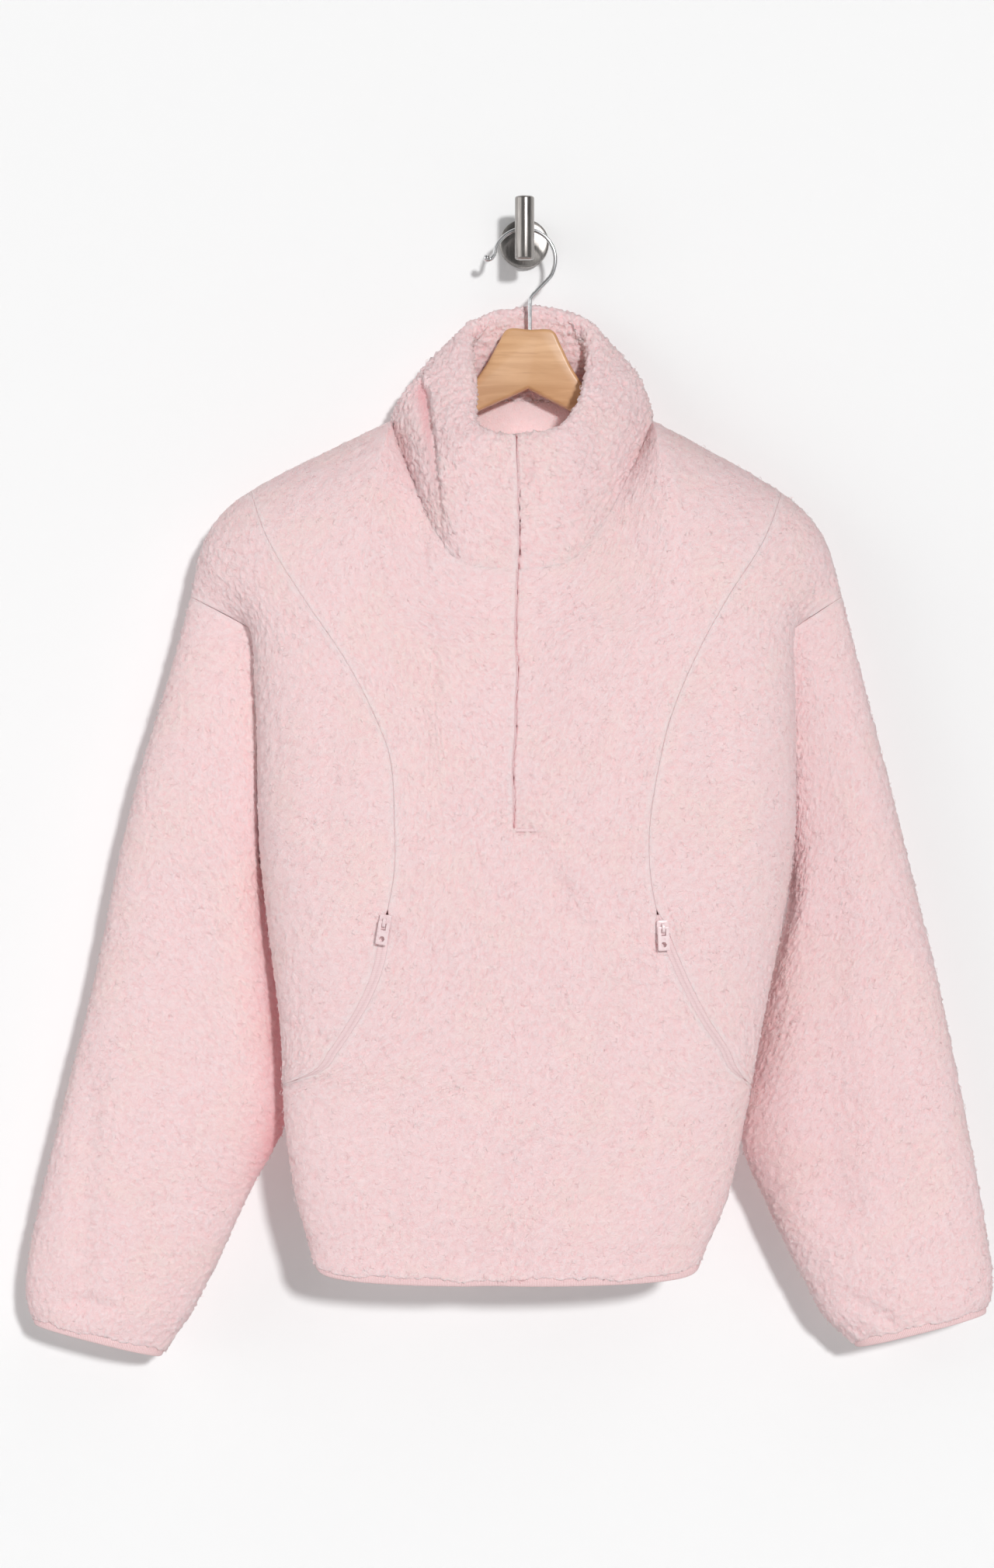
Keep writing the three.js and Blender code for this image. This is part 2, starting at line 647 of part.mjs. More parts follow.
function addSleeve(side) {
  const loop = armholeLoop(side);
  const outer = [];
  for (let row = 0; row <= SLEEVE_ROWS; row += 1) {
    const t = (row / SLEEVE_ROWS) ** SLEEVE_ROW_SPREAD;
    outer.push(loop.points.map((_, k) => sleevePoint(side, loop, t, k)));
  }
  const inner = outer.map((ring, i) => ring.map((point, j) => {
    const outward = i === 0 ? loop.outward[j] : gridNormal(outer, i, j, sign(side));
    return point.clone().addScaledVector(outward, -FLEECE);
  }));
  const end = outer[SLEEVE_ROWS].map((point) => point.clone());
  const previous = outer[SLEEVE_ROWS - 1].map((point) => point.clone());
  addMesh(`sleeve_${side}`, clothWall({ outer, inner, wrap: true }), "fleece");
  addCuff(side, end, previous);
}

const middleOf = (ring) => {
  const sum = ring.reduce((total, point) => total.add(point), new Vector3());
  return sum.divideScalar(ring.length);
};

// The cuff binding goes on from the sleeve's last ring along the sleeve.
function addCuff(side, end, previous) {
  const centre = middleOf(end);
  const along = centre.clone().sub(middleOf(previous)).normalize();
  const bandAt = (down, reach) => end.map((point) => {
    const out = point.clone().sub(centre);
    return centre.clone().addScaledVector(out, 1 + reach / out.length()).addScaledVector(along, down);
  });
  const outer = [bandAt(0, 0), bandAt(BINDING_HEIGHT, -1)];
  const inner = [bandAt(0, -BINDING_THICKNESS), bandAt(BINDING_HEIGHT, -1 - BINDING_THICKNESS)];
  addMesh(`cuff_binding_${side}`, clothWall({ outer, inner, wrap: true }), "binding");
}

// The hem binding hangs under the hem, all the way round.
function addHemBinding() {
  const front = frontColumns(0);
  const back = backColumns().reverse().slice(1, -1);
  const places = [...front.map((place) => ({ part: "front", ...place }))];
  places.push(...back.map((place) => ({ part: "back", ...place })));
  const ringAt = (down, sunk) => places.map(({ part, side, share }) => {
    const point = bodyPoint(part, side, share, 0);
    point.addScaledVector(bodyOutward(part, side, share, 0).setZ(0).normalize(), -sunk);
    return point.setZ(point.z - down);
  });
  const outer = [ringAt(0, 0), ringAt(BINDING_HEIGHT, 0)];
  const inner = [ringAt(0, BINDING_THICKNESS), ringAt(BINDING_HEIGHT, BINDING_THICKNESS)];
  addMesh("hem_binding", clothWall({ outer, inner, wrap: true }), "binding");
}

// The collar leans from the neck seam to its top edge, swelling outwards on the way.
function collarPoint(side, turn, rise) {
  const base = ringPoint(NECK, side, turn);
  const top = ringPoint(COLLAR_TOP, side, turn);
  const bulge = column(COLLAR_BULGE, "turn", side, turn) * Math.sin(Math.PI * rise);
  const outward = neckOutward(side, turn);
  return mixed(base, top, rise).addScaledVector(outward, bulge);
}

function collarNormal(side, turn, rise) {
  const step = 0.01;
  const before = collarPoint(side, Math.max(0, turn - step), rise);
  const after = collarPoint(side, Math.min(2, turn + step), rise);
  const under = collarPoint(side, turn, Math.max(0, rise - step));
  const over = collarPoint(side, turn, Math.min(1, rise + step));
  return after.sub(before).cross(over.sub(under)).multiplyScalar(sign(side)).normalize();
}

// Turn at which the collar ends beside the zip, the same way off the centre line at every height.
function collarEnd(rise, length) {
  const step = 0.02;
  return (length * step) / collarPoint("left", step, rise).distanceTo(collarPoint("left", 0, rise));
}

const collarTurns = (rise) => {
  const turns = [];
  for (let k = 0; k <= 2 * NECK_SHARE * BACK_COLUMNS; k += 1) {
    turns.push(k / (NECK_SHARE * BACK_COLUMNS));
  }
  turns[0] = collarEnd(rise, ZIP_SLIT);
  return turns;
};

const collarRises = () => {
  const rises = [];
  for (let row = 0; row <= COLLAR_ROWS; row += 1) {
    rises.push(Math.sin((row / COLLAR_ROWS) * (Math.PI / 2)) ** COLLAR_ROW_SPREAD);
  }
  return rises;
};

// Outer face and thickness: thin at the neck seam, full above it, rounded over at the top fold.
function collarFaces(side, turn, rise) {
  const outward = rise === 0 ? neckOutward(side, turn) : collarNormal(side, turn, rise);
  const full = mix(FLEECE, COLLAR_THICKNESS, ease(rise / COLLAR_SWELL));
  const late = clamp((rise - 1 + COLLAR_ROUNDING) / COLLAR_ROUNDING);
  const rounding = full * 0.5 * (1 - Math.sqrt(1 - 0.9 * late ** 2));
  const point = collarPoint(side, turn, rise);
  const outer = point.clone().addScaledVector(outward, -rounding);
  const inner = point.clone().addScaledVector(outward, rounding - full);
  return { outer, inner };
}

function addCollar() {
  const placesAt = (rise) => {
    const turns = collarTurns(rise);
    const left = turns.map((turn) => ({ side: "left", turn }));
    const right = turns.slice(0, -1).reverse().map((turn) => ({ side: "right", turn }));
    return [...left, ...right];
  };
  const faces = collarRises().map((rise) => (
    placesAt(rise).map(({ side, turn }) => collarFaces(side, turn, rise))
  ));
  const outer = faces.map((row) => row.map((face) => face.outer));
  const inner = faces.map((row) => row.map((face) => face.inner));
  addMesh("collar", clothWall({ outer, inner, gap: NECK_GAP }), "fleece");
}

// The front zip fills its slit from the chest to the top of the collar.
function addFrontZip() {
  const heights = [heightAt(ZIP_END + ZIP_START), ...HEIGHTS.slice(rowOf(ZIP_END) + 1)];
  const columnsAt = (height) => ["left", "right"].map((side) => (
    { side, share: ZIP_FILL * slitShare(side, height) }
  ));
  const grid = bodyGrid("front", heights.slice(0, -1), columnsAt, ZIP_THICKNESS, ZIP_SUNK);
  for (const rise of collarRises().slice(0, -2)) {
    const turn = collarEnd(rise, ZIP_FILL * ZIP_SLIT);
    const sunkAt = (side, sunk) => (
      collarPoint(side, turn, rise).addScaledVector(new Vector3(0, -1, 0), -sunk)
    );
    grid.outer.push(["left", "right"].map((side) => sunkAt(side, ZIP_SUNK)));
    grid.inner.push(["left", "right"].map((side) => sunkAt(side, ZIP_SUNK + ZIP_THICKNESS)));
  }
  addMesh("front_zip", clothWall(grid), "tape");
}

function addPocketZip(side) {
  const heights = HEIGHTS.filter((height) => height <= 1 && pocketSlit(levelAt(height)) > POCKET_SLIT / 2);
  const columnsAt = (height) => [-POCKET_FILL, POCKET_FILL].map((offset) => (
    { side, share: seamEdge(side, height, offset) }
  ));
  const grid = bodyGrid("front", heights, columnsAt, ZIP_THICKNESS, ZIP_SUNK);
  addMesh(`pocket_zip_${side}`, clothWall(grid), "tape");
}

function toManifold(geometry) {
  const bare = geometry.clone();
  bare.deleteAttribute("normal");
  bare.deleteAttribute("uv");
  const merged = mergeVertices(bare, 1e-4);
  const vertProperties = new Float32Array(merged.attributes.position.array);
  const triVerts = new Uint32Array(merged.index.array);
  return new wasm.Manifold(new wasm.Mesh({ numProp: 3, vertProperties, triVerts }));
}

function fromManifold(solid) {
  const mesh = solid.getMesh();
  const geometry = new THREE.BufferGeometry();
  geometry.setAttribute("position", new THREE.BufferAttribute(mesh.vertProperties, 3));
  geometry.setIndex(new THREE.BufferAttribute(mesh.triVerts, 1));
  return geometry;
}

const joined = (first, second) => fromManifold(toManifold(first).add(toManifold(second)));

function roundedRectangle(outline, left, bottom, right, top, radius) {
  outline.moveTo(left + radius, bottom);
  outline.lineTo(right - radius, bottom);
  outline.quadraticCurveTo(right, bottom, right, bottom + radius);
  outline.lineTo(right, top - radius);
  outline.quadraticCurveTo(right, top, right - radius, top);
  outline.lineTo(left + radius, top);
  outline.quadraticCurveTo(left, top, left, top - radius);
  outline.lineTo(left, bottom + radius);
  outline.quadraticCurveTo(left, bottom, left + radius, bottom);
  return outline;
}

// Extrudes an outline drawn in the front view towards the viewer, starting a given way out.
function raisedPlate(outline, start, thickness) {
  const settings = { depth: thickness, bevelEnabled: false, curveSegments: 3 };
  const geometry = new THREE.ExtrudeGeometry(outline, settings);
  return geometry.rotateX(Math.PI / 2).translate(0, -start, 0);
}

// Slider plate with the bridge that the pull tab hangs on, its pivot level with the origin's height.
function sliderGeometry() {
  const half = SLIDER.width / 2;
  const reach = SLIDER.height / 2;
  const plate = roundedRectangle(new THREE.Shape(), -half, -reach, half, reach, SLIDER.round);
  const base = raisedPlate(plate, SLIDER.clearance, SLIDER.thickness);
  const arch = new THREE.Shape();
  arch.moveTo(-BRIDGE.halfLength, -BRIDGE.sunk);
  arch.lineTo(BRIDGE.halfLength, -BRIDGE.sunk);
  arch.lineTo(BRIDGE.halfLength, BRIDGE.height / 2);
  arch.quadraticCurveTo(BRIDGE.halfLength, BRIDGE.height, 0, BRIDGE.height);
  arch.quadraticCurveTo(-BRIDGE.halfLength, BRIDGE.height, -BRIDGE.halfLength, BRIDGE.height / 2);
  arch.lineTo(-BRIDGE.halfLength, -BRIDGE.sunk);
  const bore = new THREE.Path();
  bore.absarc(0, PIVOT_OUT, BRIDGE.bore, 0, 2 * Math.PI, true);
  arch.holes.push(bore);
  const settings = { depth: BRIDGE.width, bevelEnabled: false, curveSegments: 4 };
  const bridge = new THREE.ExtrudeGeometry(arch, settings);
  bridge.translate(0, 0, -BRIDGE.width / 2);
  bridge.applyMatrix4(new THREE.Matrix4().makeBasis(
    new Vector3(0, 0, 1), new Vector3(0, -1, 0), new Vector3(1, 0, 0),
  ));
  bridge.translate(0, -SLIDER.clearance - SLIDER.thickness, 0);
  return joined(base, bridge);
}

// Pull tab hanging from its bar, with a slot round the bridge and an eye at the lower end.
function tabGeometry() {
  const outline = roundedRectangle(
    new THREE.Shape(), -TAB.halfWidth, -TAB.length, TAB.halfWidth, TAB.barHalf, TAB.barHalf,
  );
  const slot = new THREE.Path();
  const slotTop = -TAB.barHalf;
  slot.moveTo(-TAB_SLOT.halfWidth, slotTop);
  slot.lineTo(-TAB_SLOT.halfWidth, -TAB_SLOT.length);
  slot.lineTo(TAB_SLOT.halfWidth, -TAB_SLOT.length);
  slot.lineTo(TAB_SLOT.halfWidth, slotTop);
  const eye = new THREE.Path();
  eye.absarc(0, -TAB.length + TAB_EYE.up, TAB_EYE.radius, 0, 2 * Math.PI, true);
  outline.holes.push(slot, eye);
  return raisedPlate(outline, pivotHeight() - TAB.thickness / 2, TAB.thickness);
}

const pivotHeight = () => SLIDER.clearance + SLIDER.thickness + PIVOT_OUT;

function addSlider({ side, z, lean }) {
  const height = heightAt(z);
  const share = seamShare(side, height);
  const outward = bodyNormal("front", side, share, height);
  const up = new Vector3(Math.sin(lean), 0, Math.cos(lean));
  const inward = outward.clone().negate();
  const across = inward.clone().cross(up).normalize();
  const upright = across.clone().cross(inward).normalize();
  const seat = new THREE.Group();
  seat.position.copy(bodyPoint("front", side, share, height));
  seat.quaternion.setFromRotationMatrix(new THREE.Matrix4().makeBasis(across, inward, upright));
  group.add(seat);
  addMesh(`slider_${side}`, sliderGeometry(), "pull", seat);
  addMesh(`pull_tab_${side}`, tabGeometry(), "pull", seat);
}

// Contoured wooden hanger, cut from a board and rounded along its edges.
function addHanger() {
  const outline = new THREE.Shape();
  const half = [...WOOD_TOP, ...WOOD_UNDER];
  const mirrored = half.slice(1, -1).reverse().map(({ out, z }) => ({ out: -out, z }));
  const points = [...half, ...mirrored].map(({ out, z }) => new THREE.Vector2(out, z - WOOD_TOP[0].z));
  outline.setFromPoints(points);
  const board = new THREE.ExtrudeGeometry(outline, {
    depth: WOOD_THICKNESS - 2 * WOOD_BEVEL,
    bevelSize: WOOD_BEVEL,
    bevelThickness: WOOD_BEVEL,
    bevelOffset: -WOOD_BEVEL,
    bevelSegments: 2,
  });
  board.rotateX(Math.PI / 2).translate(0, WOOD_THICKNESS / 2 - WOOD_BEVEL, 0);
  const mesh = addMesh("hanger_wood", board, "wood");
  mesh.position.set(HANGER_X, HANGER_Y, WOOD_TOP[0].z);
  mesh.rotation.y = HANGER_TILT;
}

// Wire hook: a flared tip, an arc over the wall stem, and a sweep back to the middle of the hanger.
function addHook() {
  const inPlane = ({ x, z }) => new Vector3(x, 0, z);
  const points = HOOK_TIP.map(inPlane);
  for (let degrees = HOOK_ARC.from; degrees >= HOOK_ARC.to; degrees -= HOOK_ARC.step) {
    const angle = THREE.MathUtils.degToRad(degrees);
    points.push(new Vector3(HOOK_RADIUS * Math.cos(angle), 0, HOOK_CENTRE_Z + HOOK_RADIUS * Math.sin(angle)));
  }
  points.push(...HOOK_NECK.map(inPlane), new Vector3(HANGER_X, 0, WOOD_TOP[0].z + SEAM_GAP));
  const section = new THREE.Shape();
  section.absarc(0, 0, WIRE_RADIUS, 0, 2 * Math.PI);
  const path = new THREE.CatmullRomCurve3(points);
  const wire = new THREE.ExtrudeGeometry(section, { steps: 56, extrudePath: path, curveSegments: 4 });
  addMesh("hanger_hook", wire, "wire").position.y = HANGER_Y;
}

function turned(profile, segments) {
  const geometry = new THREE.LatheGeometry(profile.map(([x, y]) => new THREE.Vector2(x, y)), segments);
  geometry.deleteAttribute("normal");
  geometry.deleteAttribute("uv");
  const merged = mergeVertices(geometry, 1e-4);
  const triangles = [];
  const order = Array.from(merged.index.array);
  for (let k = 0; k < order.length; k += 3) {
    const [a, b, c] = order.slice(k, k + 3);
    if (a !== b && b !== c && c !== a) triangles.push(a, b, c);
  }
  return solidGeometry(Array.from(merged.attributes.position.array), triangles);
}

// Round rose on the wall, and the stem that carries the upright peg.
function addWallHook() {
  const rim = ROSE.radius - ROSE.edge;
  const face = -ROSE.thickness;
  addMesh("wall_rose", turned([
    [0, 0], [ROSE.radius, 0], [ROSE.radius, face + ROSE.edge], [rim, face], [0, face],
  ], 28), "steel");
  const stem = turned([
    [0, face - SEAM_GAP], [STEM_RADIUS, face - SEAM_GAP], [STEM_RADIUS, PEG.y], [0, PEG.y],
  ], 16);
  const peg = turned([
    [0, PEG.top], [PEG.radius - PEG.edge, PEG.top], [PEG.radius, PEG.top - PEG.edge],
    [PEG.radius, PEG.bottom + PEG.edge], [PEG.radius - PEG.edge, PEG.bottom], [0, PEG.bottom],
  ], 20);
  peg.rotateX(Math.PI / 2).translate(0, PEG.y, 0);
  addMesh("wall_peg", joined(stem, peg), "steel");
}

addBody();
addSleeve("left");
addSleeve("right");
addCollar();
addHemBinding();
addFrontZip();
addPocketZip("left");
addPocketZip("right");
SLIDERS.forEach(addSlider);
addHanger();
addHook();
addWallHook();

export default group;
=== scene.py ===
"""Looks of a sherpa fleece half-zip pullover that hangs on a wooden hanger from a wall peg."""

import logging
import math
from collections.abc import Callable
from dataclasses import dataclass, field
from enum import Enum
from typing import ClassVar

import bmesh
import bpy
import numpy as np
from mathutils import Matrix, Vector


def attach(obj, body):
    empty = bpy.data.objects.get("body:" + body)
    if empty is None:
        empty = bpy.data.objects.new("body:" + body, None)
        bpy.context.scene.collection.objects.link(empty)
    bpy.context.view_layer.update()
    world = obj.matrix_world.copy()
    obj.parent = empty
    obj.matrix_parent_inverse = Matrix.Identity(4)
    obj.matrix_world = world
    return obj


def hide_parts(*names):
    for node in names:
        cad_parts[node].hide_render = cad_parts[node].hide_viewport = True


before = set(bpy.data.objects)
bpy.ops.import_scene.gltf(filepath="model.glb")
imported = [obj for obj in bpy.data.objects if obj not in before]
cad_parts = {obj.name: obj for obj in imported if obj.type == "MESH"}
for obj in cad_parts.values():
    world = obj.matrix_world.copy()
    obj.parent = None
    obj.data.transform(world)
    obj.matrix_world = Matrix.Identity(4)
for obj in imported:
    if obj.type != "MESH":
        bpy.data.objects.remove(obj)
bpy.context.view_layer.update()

GARMENT = "pullover"
MM = 0.001
FINE = 4
SEED = 11
Array = np.ndarray
Triple = tuple[float, float, float]
Colour = Triple
Outline = tuple[tuple[float, float], ...]
Socket = bpy.types.NodeSocket
Finish = bpy.types.Material
Piece = bpy.types.Object
Mesh = bpy.types.Mesh
NIL = 1e-9
TINY = 1e-6
FAR = 1000
CLOSE_STEPS = 361
LIP = (0, 0.5, 1.2, 2.2)
LIP_END = 3.6
LIP_LENGTH = 20
OVERHANG_WAVES = ((0.3, 17, 0), (0.18, 6.1, 1), (0.1, 2.3, 0))
OVERHANG_FADE = 14
DOWN = np.array([0.0, 0.0, -1.0])
log = logging.getLogger("pullover")


class Side(Enum):
    """The garment's two sides as the viewer sees them; the value is the sign of x."""

    LEFT = -1
    RIGHT = 1

    @property
    def word(self) -> str:
        """The side's name as the nodes spell it."""
        return self.name.lower()


class Face(Enum):
    """The two faces of the body."""

    FRONT = "front"
    BACK = "back"


class Hold(Enum):
    """How a cloth piece is held."""

    HUNG = "hung"
    FOLDED = "folded"
    STRETCHED = "stretched"


def mix(a: Array, b: Array, share: Array) -> Array:
    """Goes from a to b by a share."""
    return a + (b - a) * share


def ease(value: Array) -> Array:
    """Smooth step from 0 to 1."""
    held = np.clip(value, 0, 1)
    return held * held * (3 - 2 * held)


def unit(vectors: Array) -> Array:
    """Vectors brought to length one."""
    return vectors / np.maximum(np.linalg.norm(vectors, axis=-1, keepdims=True), NIL)


def xyz(x: Array, y: Array, z: Array) -> Array:
    """Three coordinate arrays as one array of points."""
    return np.stack(np.broadcast_arrays(x, y, z), axis=-1)


def running(points: Array, axis: int) -> Array:
    """Running length along one axis of a grid of points.

    Args:
        points: Grid of points, the coordinates last.
        axis: The axis to walk along.

    Returns:
        The length walked so far at each point.
    """
    steps = np.linalg.norm(np.diff(points, axis=axis), axis=-1)
    start = np.zeros_like(np.take(steps, [0], axis=axis))
    return np.concatenate([start, np.cumsum(steps, axis=axis)], axis=axis)


@dataclass(frozen=True)
class Table:
    """Rows of numbers under named columns, read along a smooth curve by the first column."""

    names: tuple[str, ...]
    rows: tuple[tuple[float, ...], ...]

    def read(self, name: str, at: Array) -> Array:
        """Reads one column.

        Args:
            name: The column.
            at: Places in the first column.

        Returns:
            The column's value at each place.
        """
        data = np.array(self.rows, float)
        keys, values = data[:, 0], data[:, self.names.index(name)]
        slopes = np.diff(values) / np.diff(keys)
        ends = np.concatenate([slopes[:1], (slopes[1:] + slopes[:-1]) / 2, slopes[-1:]])
        held = np.clip(at, keys[0], keys[-1])
        row = np.clip(np.searchsorted(keys, held, side="right") - 1, 0, len(keys) - 2)
        span = keys[row + 1] - keys[row]
        share = (held - keys[row]) / span
        start, end = ends[row] * span, ends[row + 1] * span
        rise = values[row + 1] - values[row]
        bend, twist = 3 * rise - 2 * start - end, start + end - 2 * rise
        return values[row] + share * (start + share * (bend + share * twist))


@dataclass(frozen=True)
class Crease:
    """A soft trough along a line in the front view, in millimetres; a negative depth is a ridge.

    The bank on its right can be steeper, and the trough can fade along its length.
    """

    start: tuple[float, float]
    end: tuple[float, float]
    width: float
    depth: float
    steep: float = 1
    fade: float = 0
    narrowing: float = 0.6

    def press(self, x: Array, z: Array) -> Array:
        """How far the trough presses the cloth in.

        Args:
            x: Places across the front view.
            z: Places up the front view.

        Returns:
            The depth at each place, in millimetres.
        """
        (x0, z0), (x1, z1) = self.start, self.end
        along = np.array([x1 - x0, z1 - z0])
        share = np.clip(((x - x0) * along[0] + (z - z0) * along[1]) / (along @ along), 0, 1)
        off = np.hypot(x - x0 - share * along[0], z - z0 - share * along[1])
        right = (x - x0) * along[1] < (z - z0) * along[0]
        width = self.width * np.where(right, self.steep, 1) * (1 - self.narrowing * self.fade * share)
        return self.depth * (1 - self.fade * share) * np.exp(-((off / width) ** 2))


def pressed(creases: tuple[Crease, ...], points: Array) -> Array:
    """Depth that several creases press into points, in millimetres."""
    return sum(crease.press(points[..., 0], points[..., 2]) for crease in creases)


FRONT_CREASES = (
    Crease((-79, -274), (-82, -384), 15, 6),
    Crease((-5, -425), (28, -485), 13, 5),
    Crease((68, -545), (53, -691), 15, 6),
    Crease((-5, -669), (-24, -742), 13, 5),
    Crease((-84, -222), (-71, -240), 5, 3),
    Crease((-72, -247), (-46, -255), 4, 2.2),
    Crease((40, -236), (64, -222), 7, 2.4),
    Crease((24, -470), (46, -516), 8, 3.2),
    Crease((-64, -300), (-70, -372), 8, 3),
    Crease((-128, -330), (-146, -430), 16, 3.4),
    Crease((128, -340), (138, -440), 15, 3.4),
    Crease((88, -600), (78, -700), 8, 3),
    Crease((-92, -640), (-96, -720), 14, 3.4),
    Crease((20, -560), (8, -650), 16, 3.2),
    Crease((14, -650), (-6, -735), 9, 3),
    Crease((34, -300), (44, -400), 14, 2.6),
)
COLLAR_CREASES = (
    Crease((-73, -112), (-60, -204), 9, 7, 0.34, 0.7),
    Crease((3, -166), (1.5, -181), 3.6, 3.4),
    Crease((-64, -150), (-44, -186), 6, 1.6),
    Crease((56, -140), (48, -196), 9, 2.2),
    Crease((-30, -205), (-4, -216), 6, 1.2),
    Crease((10, -190), (38, -182), 6, 1.3),
)
SLEEVE_CREASES = (
    Crease((218, -360), (222, -700), 20, 7),
    Crease((-314, -607), (-318, -765), 11, 4),
    Crease((236, -768), (262, -782), 5, 3),
    Crease((-300, -772), (-334, -768), 5, 2.4),
    Crease((-236, -470), (-232, -600), 15, 3),
    Crease((262, -520), (286, -700), 16, 2.5),
    Crease((-262, -700), (-276, -760), 10, 2),
)


@dataclass(frozen=True)
class BodyForm:
    """The hollow body as it hangs, in millimetres, with the wall at y = 0.

    A place on it is a signed share across (0 at the centre line, 1 at the right side seam) and a height
    (0 at the hem, 1 at the corner row under the shoulder, 2 at the neck and shoulder line).
    """

    hem: float = -742
    pocket_end: float = -612
    pocket_top: float = -484
    underarm: float = -450
    zip_end: float = -427
    corner: float = -285
    pinch: float = 0.5
    hem_sag: float = 4
    hem_rise: float = 10
    hem_corner: float = 5
    hem_fade: float = 0.22
    front_roundness: float = 2.6
    back_flatness: float = 3
    armhole_reach: float = 24
    armhole_fullness: float = 0.8
    front_yoke: float = 1.9
    back_yoke: float = 4
    neck_share: float = 5 / 12
    seam_top: float = 0.75
    neck_hub: float = -60
    pocket_slit: float = 3.4
    pocket_taper: float = 14
    pocket_step: float = 0.01
    seam_inner: float = 0.1
    zip_reach: float = 0.2
    halvings: int = 36
    valley_lean: tuple[float, float] = (0.4, 0.92)
    ridge_lean: tuple[float, float] = (0.5, 0.87)
    armhole_turn: float = 1.5
    neck_turn: float = 0.3
    sleeve_turn: float = 0.6
    sections: Table = Table(
        ("z", "left", "right", "centre", "front", "side", "back"),
        (
            (-742, -152, 127, -12, -110, -80, -38),
            (-700, -163, 143.5, -12, -118, -80, -32),
            (-640, -172, 157, -12, -124, -78, -26),
            (-570, -175.5, 170, -12, -128, -74, -20),
            (-500, -184.5, 184.5, -12, -131, -66, -15),
            (-440, -191, 194, -12, -132, -58, -11),
            (-360, -192.5, 194.5, -11, -131, -48, -8),
            (-285, -196, 192.5, -10, -123, -42, -7),
        ),
    )
    shoulder: Table = Table(
        ("share", "left", "right", "y", "z"),
        (
            (0, -97, 93, -31, -132),
            (0.25, -143, 135, -28, -154),
            (0.5, -187, 174, -28, -176),
            (0.72, -219, 204, -33, -199),
            (0.87, -234, 220, -39, -224),
            (1, -242, 230, -44, -261),
        ),
    )
    neck: Table = Table(
        ("turn", "centre", "out", "y", "z", "lift"),
        (
            (0, -9, 0, -118, -245, 0.2),
            (0.25, -8, 36, -114, -239, 0.3),
            (0.5, -6, 57, -100, -218, 0.5),
            (0.75, -4, 77, -70, -178, 0.8),
            (1, -2, 95, -31, -132, 1.2),
            (1.3, 0, 84, -17, -122, 0.7),
            (1.6, 2, 52, -10, -116, 0.4),
            (2, 3, 0, -8, -114, 0.2),
        ),
    )
    front_seam: Table = Table(
        ("z", "left", "right"),
        (
            (-611, -172, 161),
            (-600, -147, 149),
            (-586, -136, 142),
            (-565, -122, 128),
            (-549, -113, 119),
            (-526, -104, 108),
            (-490, -98, 94),
            (-457, -92.5, 88),
            (-425, -92.5, 88),
            (-376, -96, 96),
            (-352, -105, 102),
            (-308, -128, 120),
            (-264, -158, 144),
            (-222, -184, 171),
            (-181, -200, 188),
        ),
    )

    def height(self, z: float) -> float:
        """Height of a level below the corner row."""
        return (z - self.hem) / (self.corner - self.hem)

    def level(self, height: Array) -> Array:
        """Level of a height, held at the corner row above it."""
        return mix(self.hem, self.corner, np.minimum(height, 1))

    def reach(self, z: Array) -> Array:
        """How far the armhole stands open at a level, from 0 to 1."""
        rise = np.clip((z - self.underarm) / (self.corner - self.underarm), 0, 1)
        return np.sin(np.pi / 2 * rise) ** self.armhole_fullness

    def section(self, face: Face, share: Array, z: Array) -> Array:
        """Points of a level section below the corner row.

        Args:
            face: Front or back.
            share: Signed share across.
            z: Level.

        Returns:
            The points.
        """
        off = np.abs(share)
        centre = self.sections.read("centre", z)
        edge = np.where(share < 0, self.sections.read("left", z), self.sections.read("right", z))
        side = self.sections.read("side", z)
        open_by = self.armhole_reach * self.reach(z)
        if face is Face.BACK:
            y = mix(self.sections.read("back", z), side + open_by, off**self.back_flatness)
            return xyz(mix(centre, edge, off), y, z)
        power = 2 / self.front_roundness
        across = np.sin(off * np.pi / 2) ** power
        out = np.abs(np.cos(off * np.pi / 2)) ** power
        return xyz(mix(centre, edge, across), mix(side - open_by, self.sections.read("front", z), out), z)

    def ring(self, table: Table, sign: Array, turn: Array) -> Array:
        """Points of a ring round the neck: turn 0 is the front centre, 1 the side, 2 the back centre."""
        x = table.read("centre", turn) + sign * table.read("out", turn)
        return xyz(x, table.read("y", turn), table.read("z", turn))

    def top(self, face: Face, share: Array) -> Array:
        """Points of the neck and shoulder line.

        Args:
            face: Front or back.
            share: Signed share across.

        Returns:
            The points.
        """
        off, sign = np.abs(share), np.where(share < 0, -1, 1)
        turn = np.minimum(off / self.neck_share, 1)
        neck = self.ring(self.neck, sign, turn if face is Face.FRONT else 2 - turn)
        along = np.clip((off - self.neck_share) / (1 - self.neck_share), 0, 1)
        x = np.where(share < 0, self.shoulder.read("left", along), self.shoulder.read("right", along))
        ridge = xyz(x, self.shoulder.read("y", along), self.shoulder.read("z", along))
        return np.where((off <= self.neck_share)[..., None], neck, ridge)

    def yoke(self, face: Face, share: Array, rise: Array) -> Array:
        """Points between the corner row and the neck and shoulder line.

        Args:
            face: Front or back.
            share: Signed share across.
            rise: From 0 at the corner row to 1 at the top.

        Returns:
            The points.
        """
        corner = self.section(face, share, np.full_like(share, self.corner))
        top = self.top(face, share)
        fullness = self.front_yoke if face is Face.FRONT else self.back_yoke
        half = self.neck_share / 2
        power = 2 / mix(1, fullness, ease((np.abs(share) - half) / half))
        lift = np.sin(rise * np.pi / 2) ** power
        fall = 1 - np.abs(np.cos(rise * np.pi / 2)) ** power
        return mix(corner, top, xyz(lift, fall, lift))

